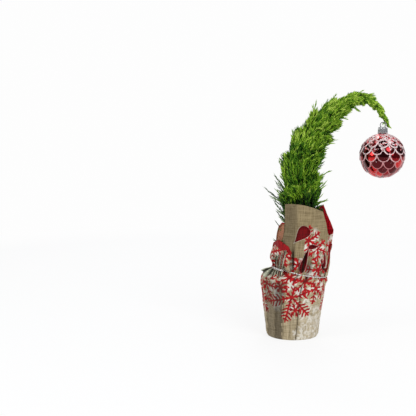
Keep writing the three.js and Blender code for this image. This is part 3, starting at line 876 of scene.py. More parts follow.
# Noise level that frost shows from, on the wrap and on the opened collar
FROST_FROM = (0.47, 0.43)
# Painted shade: how far the paper's colour goes over to this dark brown where the painted_shade amount on
# its vertices is full
PAINTED_SHADE_AMOUNT = 0.92
PAINTED_SHADE_COLOR = (0.02, 0.014, 0.008)
PRINT_WOBBLE = 0.0022
PRINT_RED = srgb(184, 16, 24)
PRINT_WINE = srgb(132, 6, 14)
FROST_WHITE = srgb(226, 222, 212)
INSIDE_RED = srgb(158, 8, 16)
INSIDE_WINE = srgb(100, 2, 8)
WEAVE_PITCH = 0.0011
WRAP_GIRTH_RADIUS = 0.04
# Direction in degrees, height, half width and turn in degrees of each printed snowflake
WRAP_FLAKES = [
    (-97, 0.058, 0.034, 46), (-50, 0.068, 0.02, 43), (-30, 0.081, 0.016, 30),
    (-111, 0.083, 0.016, 20), (-76, 0.0775, 0.0155, 15), (-118, 0.071, 0.0085, 0),
    (-90, 0.041, 0.0095, 8), (-150, 0.073, 0.018, 10), (-172, 0.05, 0.02, 52), (8, 0.056, 0.03, 20),
    (30, 0.079, 0.016, 5), (62, 0.06, 0.028, 50), (92, 0.079, 0.016, 14), (118, 0.052, 0.03, 8),
    (150, 0.078, 0.017, 36), (172, 0.06, 0.026, 24),
]
LACE_FLAKES = [
    (-57, 0.03, 0.02, 10), (-36, 0.012, 0.02, 42), (-74, 0.006, 0.016, 25), (-16, 0.034, 0.019, 20),
    (40, 0.018, 0.024, 5), (84, 0.022, 0.022, 33), (150, 0.018, 0.022, 12),
]


def neck_height(around):
    return NECK_HEIGHT - NECK_TILT * NECK_RADIUS * np.cos(around)


def wrapped(degrees):
    """Degrees brought to between -180 and 180."""
    return (degrees + 180) % 360 - 180


def soft_row(table, column, x):
    """A table's column at x, with the corners between its rows rounded off."""
    near = np.linspace(-0.03, 0.03, 7)
    rows = [(row[0], row[column]) for row in table]
    return np.mean([along(rows, x + step) for step in near], axis=0)


def pleat_tuck(degrees, share):
    """How far knife pleats tuck the paper in, and the share of that which is their groove, which is given
    painted shade.

    Past each fold the paper is tucked in all at once, then less and less."""
    tuck, groove = 0, 0
    for fold, depth, slant, _ in PLEATS:
        past = wrapped(degrees - fold - slant * share)
        folded = smooth(past, 0, 1.0) * (past < 120)
        slot = folded * np.exp(-np.maximum(past, 0) / PLEAT_GROOVE)
        tuck += depth * (0.5 * slot + 0.5 * folded * np.exp(-np.maximum(past, 0) / PLEAT_WIDTH))
        groove = np.maximum(groove, slot * depth / 0.0036)
    return tuck, groove


def panel_radius(degrees, share):
    """1 at the folds and less between them, where the paper lies flat from fold to fold, and each panel's
    painted shade."""
    folds, _, slants, shades = np.array(PLEATS + PLEATS[:1]).T
    folds[-1] += 360
    edges = folds + slants[None] * np.asarray(share)[:, None]
    turned_by = (degrees - edges[:, 0]) % 360 + edges[:, 0]
    panel = (turned_by[:, None] >= edges[:, 1:-1]).sum(1)
    rows = np.arange(len(edges))
    start, stop = edges[rows, panel], edges[rows, panel + 1]
    half, off = np.radians(stop - start) / 2, np.radians(turned_by - (start + stop) / 2)
    return 1 - PANEL_FLATNESS * (1 - np.cos(half) / np.cos(off)), shades[panel]


def gathers(degrees):
    """The ripple of paper drawn in by the tie, from -1 to 1, uneven round the neck."""
    turn = np.radians(degrees)
    wander = 1.3 * np.sin(3 * turn + 0.6) + 0.8 * np.sin(7 * turn)
    ripple = np.cos(GATHERS * turn + wander)
    return ripple * (0.65 + 0.35 * np.cos(5 * turn + 1.0)) + 0.35 * np.cos(13 * turn + wander)


def keep_amounts(bm, name, amounts):
    """Keeps an amount on each vertex, by name, for the paper's finish."""
    layer = bm.verts.layers.float.new(name)
    for vertex, amount in zip(bm.verts, amounts):
        vertex[layer] = amount


def crease(points, around, creases, strength):
    """Pushes handling creases into stiff paper that stands round the pot."""
    *layers, lift = creases
    depth = -lift
    for scale, deep in layers:
        depth += deep * np.array([abs(noise.noise(Vector(p) * scale)) for p in points])
    points[:, :2] -= (depth * strength)[:, None] * np.stack([np.cos(around), np.sin(around)], -1)


def calc_vector(operation, *values, out=0):
    inputs = dict(enumerate(values))
    return add_node(tree_of(*values), "VectorMath", inputs, out, operation=operation)


@node_group("linen_weave", vectors=1, floats=1)
def linen_weave(flat, pitch):
    """Threads of the linen look: height for the bump and shade for the colour."""
    threads = calc("DIVIDE", math.tau, pitch)
    x, y, _ = axes_of(flat)
    height = calc("SINE", x * threads) * calc("SINE", y * threads)
    streaks = 0.0
    for scale in ((1, 0.05, 1), (0.05, 1, 1)):
        stretched = add_node(flat.tree, "Mapping", {"Vector": flat, "Scale": scale})
        streaks = noise_at(stretched, 900, 3.0, 0.6) + streaks
    return {"Height": height * 0.5 + streaks, "Shade": rise(height * 0.06 + streaks, 0.75, 1.2)}


# Half width of a snowflake's strokes, and the spacing and greatest length of its barbs
FLAKE_STROKE = 0.00125
FLAKE_BARB_PITCH = 0.005
FLAKE_BARB_LENGTH = 0.008


def least(first, *others):
    for other in others:
        first = calc("MINIMUM", first, other)
    return first


@node_group("snowflake", vectors=2, floats=2)
def snowflake(flat, centre, size, turn):
    """A six-armed snowflake with slanting barbs on its arms, the halo it is printed on, and the room
    round its middle that no other print comes into."""
    away = calc_vector("SUBTRACT", flat, centre)
    x, y, _ = axes_of(away)
    distance = calc_vector("LENGTH", away, out="Value")
    angle = calc("ARCTAN2", y, x) + (turn + math.tau)
    folded = calc("PINGPONG", angle, math.pi / 6)
    out = distance * calc("COSINE", folded)
    aside = distance * calc("SINE", folded)
    slant = aside * -0.62 + out
    arm = least(FLAKE_STROKE - aside, size - out)
    barb = calc("PINGPONG", slant, FLAKE_BARB_PITCH / 2) * -0.85 + 0.9 * FLAKE_STROKE
    longest = least((size * 1.05 - slant) * 0.7, slant * 0.5, FLAKE_BARB_LENGTH)
    barb = least(barb, longest - aside, slant - 0.7 * FLAKE_BARB_PITCH)
    reached = distance / size
    return {
        "Print": rise(calc("MAXIMUM", arm, barb), -0.00025, 0.00025),
        "Halo": rise(reached, 1.1, 0.55),
        "Room": rise(reached, 0.84, 0.8),
    }


@node_group("frosted_print", vectors=1, floats=3)
def frosted_print(flat, halo, lace, frost_from):
    """White that comes through the print in patches, and ink that took unevenly."""
    frost = rise(noise_at(flat, 95, 5.0, 0.6), frost_from, frost_from + 0.11) * halo
    lace = lace * rise(noise_at(flat, 160, 3.0), 0.3, 0.6)
    ink = rise(noise_at(flat, 300, 2.0), 0.35, 0.65)
    return {"White": calc("MAXIMUM", frost, lace), "Ink": ink}


def flake_masks(drawn, flakes, girth_radius):
    """The masks of each of the flakes, which are (direction, height, size, turn)."""
    for degrees, height, size, turn in flakes:
        along_girth = math.radians(degrees - 360 * (degrees > 90)) * girth_radius
        yield snowflake(drawn, (along_girth, height, 0), size, math.radians(turn))


def vertex_value(tree, name):
    return add_node(tree, "Attribute", {}, out="Fac", attribute_name=name)


def printed_linen(
    tree, flakes, girth_radius, lace_flakes=(), opened=(), paper=(LINEN_DARK, LINEN_PALE)
):
    """The outside of the paper, printed with red snowflakes and pale lace ones. Opened, it has a panel
    without print, and gaps with a darker red in them as painted shade, edged with a painted highlight."""
    flat = flat_place(tree)
    wobble = add_node(tree, "TexNoise", {"Vector": flat, "Scale": 160.0}, out="Color")
    wobble = calc_vector("SUBTRACT", wobble, (0.5, 0.5, 0.5))
    drawn = calc_vector("MULTIPLY_ADD", wobble, (PRINT_WOBBLE,) * 3, flat)
    printed, halo, lace = 0.0, 0.0, 0.0
    for flake in flake_masks(drawn, flakes, girth_radius):
        printed = calc("MAXIMUM", (1.0 - flake["Room"]) * printed, flake["Print"])
        halo = calc("MAXIMUM", halo, flake["Halo"])
    for flake in flake_masks(drawn, lace_flakes, girth_radius):
        lace = calc("MAXIMUM", lace, flake["Print"] * 0.55 + flake["Halo"] * 0.3)
    if opened:
        (left, right, foot), shaded_gap_red = opened
        left, right = math.radians(left) * girth_radius, math.radians(right) * girth_radius
        x, y, _ = axes_of(drawn)
        kept = 1.0 - rise(least(x - left, right - x, y - foot), -0.0003, 0.0003)
        printed, halo = printed * kept, halo * kept
    weave = linen_weave(flat, WEAVE_PITCH)
    frost = frosted_print(flat, halo, lace, FROST_FROM[bool(opened)])
    frosted = blend_colors(frost["White"] * 0.85, blend_colors(weave["Shade"], *paper), FROST_WHITE)
    color = blend_colors(printed, frosted, blend_colors(frost["Ink"], PRINT_WINE, PRINT_RED))
    if opened:
        depth = vertex_value(tree, "inside_shows")
        # A pale band just outside each gap's outline is a painted highlight on its lip, and the darker
        # red in the gap is painted shade.
        color = blend_colors(rise(depth, -0.8, -0.1) * 0.45, color, FROST_WHITE)
        red = blend_colors(weave["Shade"], *shaded_gap_red)
        color = blend_colors(rise(depth, -0.12, 0.12), color, red)
    # Painted shade: the painted_shade amount kept on the vertices darkens the colour.
    shade = rise(vertex_value(tree, "painted_shade"), 0.0, 1.0) * PAINTED_SHADE_AMOUNT
    return {
        "Base Color": blend_colors(shade, color, PAINTED_SHADE_COLOR),
        "Roughness": 0.72,
        "Specular IOR Level": 0.2,
        "Normal": bump(weave["Height"], 0.00018, 0.8),
    }


def red_inside(tree, wine, red):
    weave = linen_weave(flat_place(tree), WEAVE_PITCH)
    return {
        "Base Color": blend_colors(weave["Shade"], wine, red),
        "Roughness": 0.6,
        "Specular IOR Level": 0.2,
        "Normal": bump(weave["Height"], 0.00012, 0.6),
    }


def round_sheet(columns, rows):
    """A sheet that goes once round the pot, the share of the way up it, and the directions round it:
    in degrees, in radians and as laid out flat from its seam at the back."""
    bm, u, v = sheet_grid(columns, rows)
    degrees = wrapped(90 + 360 * u)
    return bm, v, degrees, np.radians(degrees), np.radians(360 * u - 270)


def ring_points(middle, radius, around, z):
    return np.stack([middle + radius * np.cos(around), radius * np.sin(around), z], -1)


def paper_piece(name, bm, points, flat, shade, finishes):
    """Lays a sheet out, turns its printed side outwards and gives it its thickness, whose inner side
    takes the second finish. The shade is the painted shade at each place, from 0 to 1, kept on the
    vertices to darken the paper's colour."""
    keep_amounts(bm, "painted_shade", shade)
    lay_sheet(bm, points, *flat)
    close_seams(bm)
    if sum(f.normal.xy.dot(f.calc_center_median().xy) * f.calc_area() for f in bm.faces) < 0:
        bmesh.ops.reverse_faces(bm, faces=bm.faces)
    piece = finish_mesh(name, bm, finishes)
    wall = piece.modifiers.new("thickness", "SOLIDIFY")
    wall.thickness = PAPER_THICKNESS
    wall.offset = -1
    wall.material_offset = 1
    return piece


paper_inside = new_material("paper_inside", red_inside, INSIDE_WINE, INSIDE_RED)


def paper_wrap():
    rows = WRAP_ROWS_UNDER + WRAP_ROWS_UP
    bm, v, degrees, around, laid_out = round_sheet(WRAP_COLUMNS, rows)
    row = v * rows
    under = row < WRAP_ROWS_UNDER
    share = np.clip((row - WRAP_ROWS_UNDER) / WRAP_ROWS_UP, 0, 1)
    radius = soft_row(WRAP_ROWS, 1, share)
    middle = NECK_OFFSET * soft_row(WRAP_ROWS, 2, share)
    z = share * (neck_height(around) - CLEAR / 2)
    z = np.sqrt(z**2 + 1e-9)
    drawn_in = smooth(share, 0.8, 0.97)
    tuck, groove = pleat_tuck(degrees, share)
    folded = smooth(share, 0, 0.06) * (1 - 0.5 * drawn_in)
    flatness = 0.3 + 0.7 * smooth(share, 0, 0.1) * (1 - drawn_in)
    flattened, panel_shade = panel_radius(degrees, share)
    radius = radius * (1 - flatness * (1 - flattened)) - tuck * folded
    loosened = 1 - 0.45 * smooth(share, 0.97, 1)
    radius += GATHER_DEPTH * gathers(degrees) * drawn_in * loosened
    radius -= FOOT_ROUNDING * (1 - smooth(share, 0, 0.03))
    foot = row / WRAP_ROWS_UNDER
    radius = np.where(under, (WRAP_ROWS[0][1] - FOOT_ROUNDING) * foot, radius)
    points = ring_points(middle, radius, around, z)
    crease(points, around, WRAP_CREASES, np.where(under, 0, smooth(share, 0.02, 0.2)))
    points[:, 2] = np.where(under, 0, points[:, 2])
    path = np.where(under, (foot - 1) * WRAP_ROWS[0][1], z)
    # Painted shade in the pleats' grooves, in the gathers' valleys and on whole panels.
    gathered = 0.7 * drawn_in * smooth(-gathers(degrees), 0, 1)
    shade = np.maximum(np.maximum(groove, gathered), panel_shade * (1 - drawn_in))
    shade = np.where(under, 0, shade)
    given = (WRAP_FLAKES, WRAP_GIRTH_RADIUS, LACE_FLAKES)
    outside = new_material("printed_linen", printed_linen, *given)
    flat = (laid_out * WRAP_GIRTH_RADIUS, path)
    return paper_piece("paper_wrap", bm, points, flat, shade, [outside, paper_inside])


wrap = paper_wrap()
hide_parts("pot_wrap")

# Paper collar
# The same paper above the tie, where it opens again and stands up unevenly: a tall plain flap in
# front, a folded corner at the right that shows the red inside, and low lobes at the left and back.
COLLAR_MIDDLE = 0.0135
# A darker copy of the wrap's linen for the same paper above the tie: painted shade.
COLLAR_LINEN_IN_SHADE = (srgb(114, 99, 70), srgb(152, 136, 103))
# Directions that the flap's shaded left part lies between, and its shade
FLAP_SHADE = (-113, -103, 0.44)
# A brighter copy of the red inside, for the collar's inner face: painted light.
LIT_RED = (srgb(136, 4, 16), srgb(220, 20, 38))
# The red inside as it shows in the gaps, darker than elsewhere: painted shade.
SHADED_GAP_RED = (srgb(78, 0, 6), srgb(128, 2, 12))
# Directions of the sides of a panel without print, in degrees, and the height of its foot
PLAIN_PANEL = (-142, -91, 0.1085)
# Creases and printed snowflakes, said in the same order as the wrap's
COLLAR_CREASES = [(40, 0.0018), (120, 0.0006), 0.0006]
COLLAR_GIRTH_RADIUS = 0.034
COLLAR_FLAKES = [
    (-56, 0.092, 0.019, 5), (-62, 0.1205, 0.0155, 25), (-83, 0.131, 0.019, 30),
    (-101, 0.099, 0.0125, 10), (-128, 0.11, 0.014, 20), (-162, 0.113, 0.015, 44),
    (-14, 0.119, 0.014, 20), (24, 0.126, 0.022, 44), (58, 0.104, 0.02, 10), (92, 0.113, 0.018, 26),
    (128, 0.12, 0.022, 32), (160, 0.104, 0.016, 12),
]
COLLAR_COLUMNS = 400
COLLAR_ROWS = 70
# Direction in degrees, height of the edge and its distance from the collar's middle
COLLAR_EDGE = [
    (-180, 0.115, 0.0345), (-170, 0.113, 0.0345), (-160, 0.113, 0.034), (-148, 0.115, 0.0335),
    (-143.5, 0.126, 0.033), (-142.2, 0.16, 0.034), (-140.5, 0.1765, 0.0345), (-120, 0.1775, 0.0345),
    (-100, 0.1768, 0.0345), (-80, 0.1738, 0.0345), (-65, 0.1706, 0.034), (-50, 0.1672, 0.0341),
    (-32, 0.1385, 0.0344), (-22, 0.135, 0.0348), (-5, 0.133, 0.035), (7, 0.1395, 0.0406),
    (28, 0.1722, 0.032), (47, 0.1665, 0.0302), (62, 0.136, 0.0325), (90, 0.126, 0.0345),
    (115, 0.132, 0.035), (132, 0.143, 0.034), (144, 0.143, 0.033), (152, 0.134, 0.0325),
    (162, 0.118, 0.0335), (180, 0.115, 0.0345),
]
# Valley folds that rise from the tie: direction at the tie and at the fold's top, half width in
# degrees, depth and height of the top
COLLAR_FOLDS = [
    (-91, -86, 3.2, 0.004, 0.121), (-113, -116, 3.0, 0.0036, 0.126), (-72, -74, 2.6, 0.0026, 0.11),
    (-27, -58, 3.2, 0.0048, 0.11), (-48, -46, 2.6, 0.0028, 0.104), (-8, -20, 3.0, 0.0034, 0.122),
    (-134, -128, 3.0, 0.003, 0.112), (-168, -168, 5, 0.003, 0.112), (14, 10, 4, 0.0034, 0.12),
    (38, 34, 4, 0.0034, 0.128), (62, 64, 4, 0.003, 0.118), (88, 92, 5, 0.0034, 0.116),
    (116, 112, 4, 0.0034, 0.12), (142, 146, 4, 0.0036, 0.126),
]
# Gaps between folded layers where the red inside shows: direction, height, half length, half width
# and the direction of the round end in degrees
COLLAR_GAPS = [
    (-100, 0.1374, 0.013, 0.008, 52), (-70, 0.1226, 0.0078, 0.003, 180),
    (-88, 0.106, 0.018, 0.004, 258), (-37, 0.099, 0.015, 0.0019, 102),
]
# How far a gap is sunk, how far its lip stands out, and the width of its edge
GAP_DEPTH = 0.004
GAP_LIP = 0.0006
GAP_EDGE = 0.0016
# How far the collar swells out above the tie, the height its lean ends at, and depth of its waves
COLLAR_SWELL = 0.0022
LEAN_HEIGHT = 0.06
COLLAR_FLUTE = 0.0007


def gap_reach(degrees, height):
    """How far inside the nearest gap's outline each place lies, in mm, negative outside."""
    best = -3.0
    for direction, middle, half_length, half_width, tilt in COLLAR_GAPS:
        x = np.radians(degrees - direction) * COLLAR_GIRTH_RADIUS
        y = height - middle
        c, s = math.cos(math.radians(tilt)), math.sin(math.radians(tilt))
        lengthwise = np.clip((x * c + y * s) / half_length, -1, 1)
        aside = np.abs(y * c - x * s)
        outline = half_width * 0.78 * (1 + lengthwise) * np.sqrt(1 - lengthwise**2)
        ends = half_length - np.abs(x * c + y * s)
        best = np.maximum(best, 1000 * np.minimum(outline - aside, ends))
    return best


def edge_rows(edge, degrees):
    """What a table of an edge says at each direction, column by column."""
    directions, *columns = zip(*edge)
    return [np.interp(degrees, directions, column) for column in columns]


def collar_centre(above):
    """The collar leans: its middle moves over as it rises above the tie."""
    return NECK_OFFSET + (COLLAR_MIDDLE - NECK_OFFSET) * np.clip(above / LEAN_HEIGHT, 0, 1)


def valley_folds(degrees, above, z):
    depth, deepest = 0, 0
    for low, high, half, deep, top in COLLAR_FOLDS:
        rising = np.clip((z - NECK_HEIGHT) / (top - NECK_HEIGHT), 0, 1)
        off = wrapped(degrees - low - (high - low) * rising) / half
        fold = np.exp(-(off**2)) * smooth(above, 0, 0.006) * (1 - smooth(z, top - 0.014, top))
        depth += deep * fold
        deepest = np.maximum(deepest, fold * deep / 0.004)
    return depth, deepest


def paper_collar():
    bm, v, degrees, around, laid_out = round_sheet(COLLAR_COLUMNS, COLLAR_ROWS)
    low = neck_height(around) + CLEAR / 2
    top, reach = edge_rows(COLLAR_EDGE, degrees)
    z = low + (top - low) * v
    above = z - low
    ripples = gathers(degrees)
    gathered = (0.6 + 0.4 * smooth(above, 0, 0.008)) * (1 - smooth(above, 0.008, 0.034))
    folded, deepest = valley_folds(degrees, above, z)
    radius = NECK_RADIUS + (reach - NECK_RADIUS) * v**1.3
    radius += COLLAR_SWELL * np.sin(math.pi * np.clip(above / 0.05, 0, 1))
    radius += GATHER_DEPTH * ripples * gathered - folded
    radius += COLLAR_FLUTE * np.sin(9 * around + 0.9) * smooth(above, 0.020, 0.050)
    shows = gap_reach(degrees, z)
    radius -= GAP_DEPTH * smooth(shows, 0, 1000 * GAP_EDGE)
    radius += GAP_LIP * smooth(shows, -1.6, -0.2) * (shows < 0)
    points = ring_points(collar_centre(above), radius, around, z)
    crease(points, around, COLLAR_CREASES, smooth(above, 0, 0.01))
    keep_amounts(bm, "inside_shows", shows)
    # Painted shade on the flap's left part, in the valley folds and in the gathers' valleys.
    in_shade = FLAP_SHADE[2] * (1 - smooth(degrees, *FLAP_SHADE[:2])) * (degrees < 0)
    shade = np.maximum(np.maximum(deepest, in_shade), 0.7 * gathered * smooth(-ripples, 0, 1))
    flat = (laid_out * COLLAR_GIRTH_RADIUS, z)
    return paper_piece("paper_collar", bm, points, flat, shade, [collar_linen_in_shade, lit_inside])


COLLAR_PRINT = (printed_linen, COLLAR_FLAKES, COLLAR_GIRTH_RADIUS)
opened = (PLAIN_PANEL, SHADED_GAP_RED)
collar_linen_in_shade = new_material("collar_linen_in_shade", *COLLAR_PRINT, opened=opened, paper=COLLAR_LINEN_IN_SHADE)
lit_inside = new_material("lit_inside", red_inside, *LIT_RED)
collar = paper_collar()
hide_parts("wrap_collar")

# Lobes of the collar
# Loose ends of the same sheet that stand inside and outside the collar. The left one's top is
# turned over outwards, so that its red inside shows, and the back one stands up behind it.
# A pinkish copy of the linen for the back lobe: painted light.
PINK_LIT_LINEN = (srgb(126, 78, 54), srgb(178, 122, 90))
LOBE_COLUMNS = 90
LOBE_ROWS = 44
# Share of the rows below the turn, the turn's radius, and depth of the gathers and of the waves
LOBE_TURN_SHARE = 0.7
LOBE_TURN_RADIUS = 0.0009
LOBE_GATHER = 0.0014
LOBE_FLUTE = 0.0011
# Direction in degrees, height of the upper edge, reach from the collar's middle and length that is
# turned over
LEFT_LOBE = [
    (-196, 0.112, 0.035, 0.001), (-182, 0.1222, 0.0348, 0.0022), (-166, 0.1262, 0.0346, 0.005),
    (-152, 0.128, 0.0346, 0.009), (-138, 0.1258, 0.035, 0.01), (-124, 0.1205, 0.0354, 0.009),
    (-117, 0.113, 0.0356, 0.003),
]
RIGHT_LOBE = [
    (-27, 0.086, 0.0352, 0.0005), (-22, 0.106, 0.0364, 0.0005), (-14, 0.118, 0.037, 0.0005),
    (-2, 0.121, 0.0372, 0.0005), (8, 0.115, 0.0372, 0.0005), (18, 0.104, 0.0366, 0.0005),
]
BACK_LOBE = [
    (-208, 0.112, 0.0325, 0.0005), (-200, 0.122, 0.0316, 0.0005), (-191, 0.137, 0.0306, 0.0005),
    (-182, 0.143, 0.0302, 0.0005), (-172, 0.1465, 0.0302, 0.0005), (-160, 0.15, 0.0302, 0.0005),
    (-142, 0.1505, 0.0304, 0.0005),
]


def paper_lobe(name, edge, stand, bulge, outside):
    """A sheet from the tie up to its edge, whose top is turned over outwards and down. It starts a
    stand off the neck and bulges on its way up."""
    bm, u, v = sheet_grid(LOBE_COLUMNS, LOBE_ROWS)
    degrees = edge[0][0] + (edge[-1][0] - edge[0][0]) * u
    around = np.radians(degrees)
    top, reach, turned_over = edge_rows(edge, degrees)
    low = neck_height(around) + CLEAR / 2
    up = np.clip(v / LOBE_TURN_SHARE, 0, 1)
    over = np.clip((v - LOBE_TURN_SHARE) / (1 - LOBE_TURN_SHARE), 0, 1)
    bend = np.clip(over / 0.3, 0, 1) * math.pi
    hang = np.clip((over - 0.3) / 0.7, 0, 1) * turned_over
    z = low + (top - low) * up + LOBE_TURN_RADIUS * np.sin(bend) - hang
    foot = NECK_RADIUS + stand
    radius = foot + (reach - foot) * up**0.8 + bulge * np.sin(math.pi * up)
    radius += LOBE_TURN_RADIUS * (1 - np.cos(bend)) + 0.12 * hang
    above = z - low
    ripples = gathers(degrees + 4)
    radius += LOBE_GATHER * ripples * (1 - smooth(above, 0.0, 0.026))
    radius += LOBE_FLUTE * np.sin(np.radians(degrees * 7)) * up
    points = ring_points(collar_centre(above), radius, around, z)
    crease(points, around, COLLAR_CREASES, smooth(above, 0, 0.01))
    # Painted shade in the gathers' valleys.
    shade = smooth(-ripples, 0, 1) * 0.7 * (1 - smooth(above, 0.006, 0.026))
    turn = np.where(around > math.pi / 2, around - math.tau, around)
    flat = (turn * COLLAR_GIRTH_RADIUS, z + 2 * hang)
    piece = paper_piece(name, bm, points, flat, shade, [outside, paper_inside])
    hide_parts("wrap_collar")


lobe_linen = new_material("lobe_linen", *COLLAR_PRINT)
pink_lit_linen = new_material("pink_lit_linen", printed_linen, [], COLLAR_GIRTH_RADIUS, paper=PINK_LIT_LINEN)
paper_lobe("collar_left_lobe", LEFT_LOBE, 0.0014, 0.0052, lobe_linen)
paper_lobe("collar_right_lobe", RIGHT_LOBE, 0.0012, 0.0012, lobe_linen)
paper_lobe("collar_back_lobe", BACK_LOBE, 0.0004, 0.0002, pink_lit_linen)

# Gathered end of the paper
# At the left of the front the sheet's last edge is drawn together in narrow pleats and caught under
# the tie, so it fans out like a ruffle above and below it.
RUFFLE_PLEATS = 6
RUFFLE_COLUMNS = 144
RUFFLE_ROWS = 60
# Share of the way up, and place (x, y, z) of the ruffle's left and then of its right edge
RUFFLE_LINE = [
    (0, -0.0425, -0.013, 0.089, -0.016, -0.0315, 0.088),
    (0.2, -0.0375, -0.0165, 0.092, -0.0158, -0.0305, 0.0895),
    (0.45, -0.0275, -0.0222, 0.095, -0.016, -0.0285, 0.0925),
    (0.55, -0.028, -0.023, 0.098, -0.016, -0.0292, 0.095),
    (0.75, -0.0292, -0.0242, 0.1045, -0.0135, -0.0312, 0.1035),
    (1, -0.0272, -0.0248, 0.1085, -0.0104, -0.0316, 0.1165),
]
# Share of the way up and depth of the pleats
RUFFLE_DEPTHS = [(0, 0.0028), (0.2, 0.0025), (0.45, 0.0016), (0.55, 0.0016), (0.75, 0.0024), (1, 0.0028)]
RUFFLE_SAG = 0.0135
RUFFLE_TURN = -30
# How uneven its edges are: with each pleat, in long waves and in short ones
RUFFLE_UNEVEN = (0.0022, 0.0034, 0.0016)
# A grey-green copy of the linen for the ruffle: painted shade and a painted green reflection, and its
# pale end is painted highlight.
RUFFLE_LINEN = (srgb(104, 108, 86), srgb(204, 206, 184))


def ruffle():
    bm, u, v = sheet_grid(RUFFLE_COLUMNS, RUFFLE_ROWS)
    sides = np.stack([soft_row(RUFFLE_LINE, i, v) for i in range(1, 7)], -1)
    left, right = sides[:, :3], sides[:, 3:]
    wander = 1.2 * np.sin(math.tau * u + 1.3 + 1.5 * v) + 0.7 * np.sin(5 * math.pi * u - 1.8 * v)
    turn = math.tau * RUFFLE_PLEATS * u + wander
    wave = np.cos(turn)
    depth = along(RUFFLE_DEPTHS, v)
    toward = math.radians(RUFFLE_TURN)
    out = np.array([math.sin(toward), -math.cos(toward), 0.15])
    overlap = 0.06 * np.sin(turn) / RUFFLE_PLEATS
    points = left + (right - left) * (u - overlap)[:, None] + out * (depth * wave)[:, None]
    sag = RUFFLE_SAG * 4 * u * (1 - u) * (1 - smooth(v, 0, 0.42))
    uneven = np.dot(RUFFLE_UNEVEN, [wave, np.sin(8 * u + 0.6), np.sin(23 * u)])
    points[:, 2] += uneven * (v - 0.5) * (1 - 0.6 * (v < 0.5)) - sag
    points[:, 1] -= 0.25 * sag
    # Painted shade in the pleats' valleys.
    shade = 0.95 * smooth(-wave, -0.3, 0.8)
    flat = (-2.9 * COLLAR_GIRTH_RADIUS + 0.044 * u, 0.08 + 0.05 * v)
    given = (COLLAR_FLAKES[5:6], COLLAR_GIRTH_RADIUS)
    frosted = new_material("frosted_linen_green_shaded", printed_linen, *given, paper=RUFFLE_LINEN)
    piece = paper_piece("collar_ruffle", bm, points, flat, shade, [frosted, paper_inside])
    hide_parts("wrap_collar")


ruffle()

# Neck tie
# Two strands of thin silver wire twisted together and drawn tight round the gathered paper, and two
# turns of the same wire round the waist of the ruffle.
TIE_RADIUS = 0.0008
STRAND_RADIUS = 0.00042
STRAND_TWISTS = 34
STRAND_SIDES = 8
STRAND_STEPS = 544
SILVER = (0.9, 0.9, 0.88)


def metal(tree, color, roughness, grain_scale):
    worn = handled_surface(object_place(tree), POT_SCUFF_SCALE, grain_scale, 3.0)["Grain"]
    return {
        "Base Color": blend_colors(rise(worn, 0.4, 0.7), color, tuple(0.72 * c for c in color)),
        "Metallic": 1.0,
        "Roughness": worn * 0.2 + roughness,
        "Normal": bump(worn, 0.00005),
    }


tie_silver = new_material("tie_silver", metal, SILVER, 0.35, 2500)


def twisted_strand(half_turn):
    bm, u, v = sheet_grid(STRAND_SIDES, STRAND_STEPS)
    around, across = math.tau * v, math.tau * u
    twist = STRAND_TWISTS * around + math.pi * half_turn
    ring = NECK_RADIUS + CLEAR + TIE_RADIUS
    r = ring + STRAND_RADIUS * (np.cos(twist) + np.cos(across))
    z = neck_height(around) + STRAND_RADIUS * (np.sin(twist) + np.sin(across))
    lay_sheet(bm, ring_points(NECK_OFFSET, r, around, z), across, around)
    close_seams(bm)
    piece = finish_mesh(f"tie_strand_{half_turn + 1}", bm, [tie_silver])
    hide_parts("neck_tie")


for half_turn in (0, 1):
    twisted_strand(half_turn)

# Middle of the ruffle's waist, its half width and half depth, and the height that one turn rises
BINDING = ((-0.0219, -0.0256, 0.0938), 0.0082, 0.0042, 0.0013)
BINDING_TURNS = 2
BINDING_STEPS = 120


def ruffle_binding():
    bm, u, v = sheet_grid(STRAND_SIDES, BINDING_STEPS)
    middle, half_wide, half_deep, pitch = BINDING
    around, across = math.tau * BINDING_TURNS * v, math.tau * u
    toward = math.radians(RUFFLE_TURN)
    aside = np.array([math.cos(toward), math.sin(toward), -0.22])
    out = np.array([math.sin(toward), -math.cos(toward), 0])
    wire = 1 + STRAND_RADIUS / half_deep * np.cos(across)
    points = aside * (half_wide * np.cos(around) * wire)[:, None]
    points += out * (half_deep * np.sin(around) * wire)[:, None] + middle
    points[:, 2] += pitch * BINDING_TURNS * (v - 0.5) + STRAND_RADIUS * np.sin(across)
    lay_sheet(bm, points, across, around)
    cap_ends(bm)
    piece = finish_mesh("ruffle_binding", bm, [tie_silver])
    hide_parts("neck_tie")


ruffle_binding()

# Bauble
# A hollow ball of red lacquered plastic moulded with rows of overlapping scales, each rimmed with
# white glitter, with more glitter spilt near the cap. Its neck is a tube that the cap is pushed over.
SCALE_ROWS = 9
SCALES_ROUND = 11
FIRST_ROW_LATITUDE = 76
LAST_ROW_LATITUDE = -70
SCALE_SEGMENTS = 16
SCALE_RIM = 0.16
SCALE_STAND = 0.0016
SHELL_INSET = 0.0011
SCALE_SINK = 0.0003
BALL_SHELL_RADIUS = BALL_RADIUS - SHELL_INSET
BALL_NECK_RADIUS = 0.0046
BALL_NECK_HEIGHT = 0.0052
# Dark and bright colour of the plain lacquer and of a darker and a brighter copy of it, dealt out from
# scale to scale as painted shade and painted light for the scales' differing reflections
LACQUERS = [
    (srgb(96, 2, 10), srgb(158, 10, 20)),
    (srgb(50, 0, 6), srgb(92, 2, 10)),
    (srgb(158, 12, 20), srgb(222, 44, 42)),
]
# Share of scales in the first lacquer, and in the brightest, the painted light, in the end rows and in
# the others
PLAIN_SHARE = 0.4
BRIGHT_SHARES = (0.5, 0.2)
# Width and height of a scale as shares of its room in the row
SCALE_FILL = (1.04, 0.98)
SCALE_TILT = 0.35
GLITTER_WHITE = srgb(235, 226, 226)
GLITTER_PINK = srgb(176, 84, 88)
POWDER_PINK = srgb(206, 66, 74)


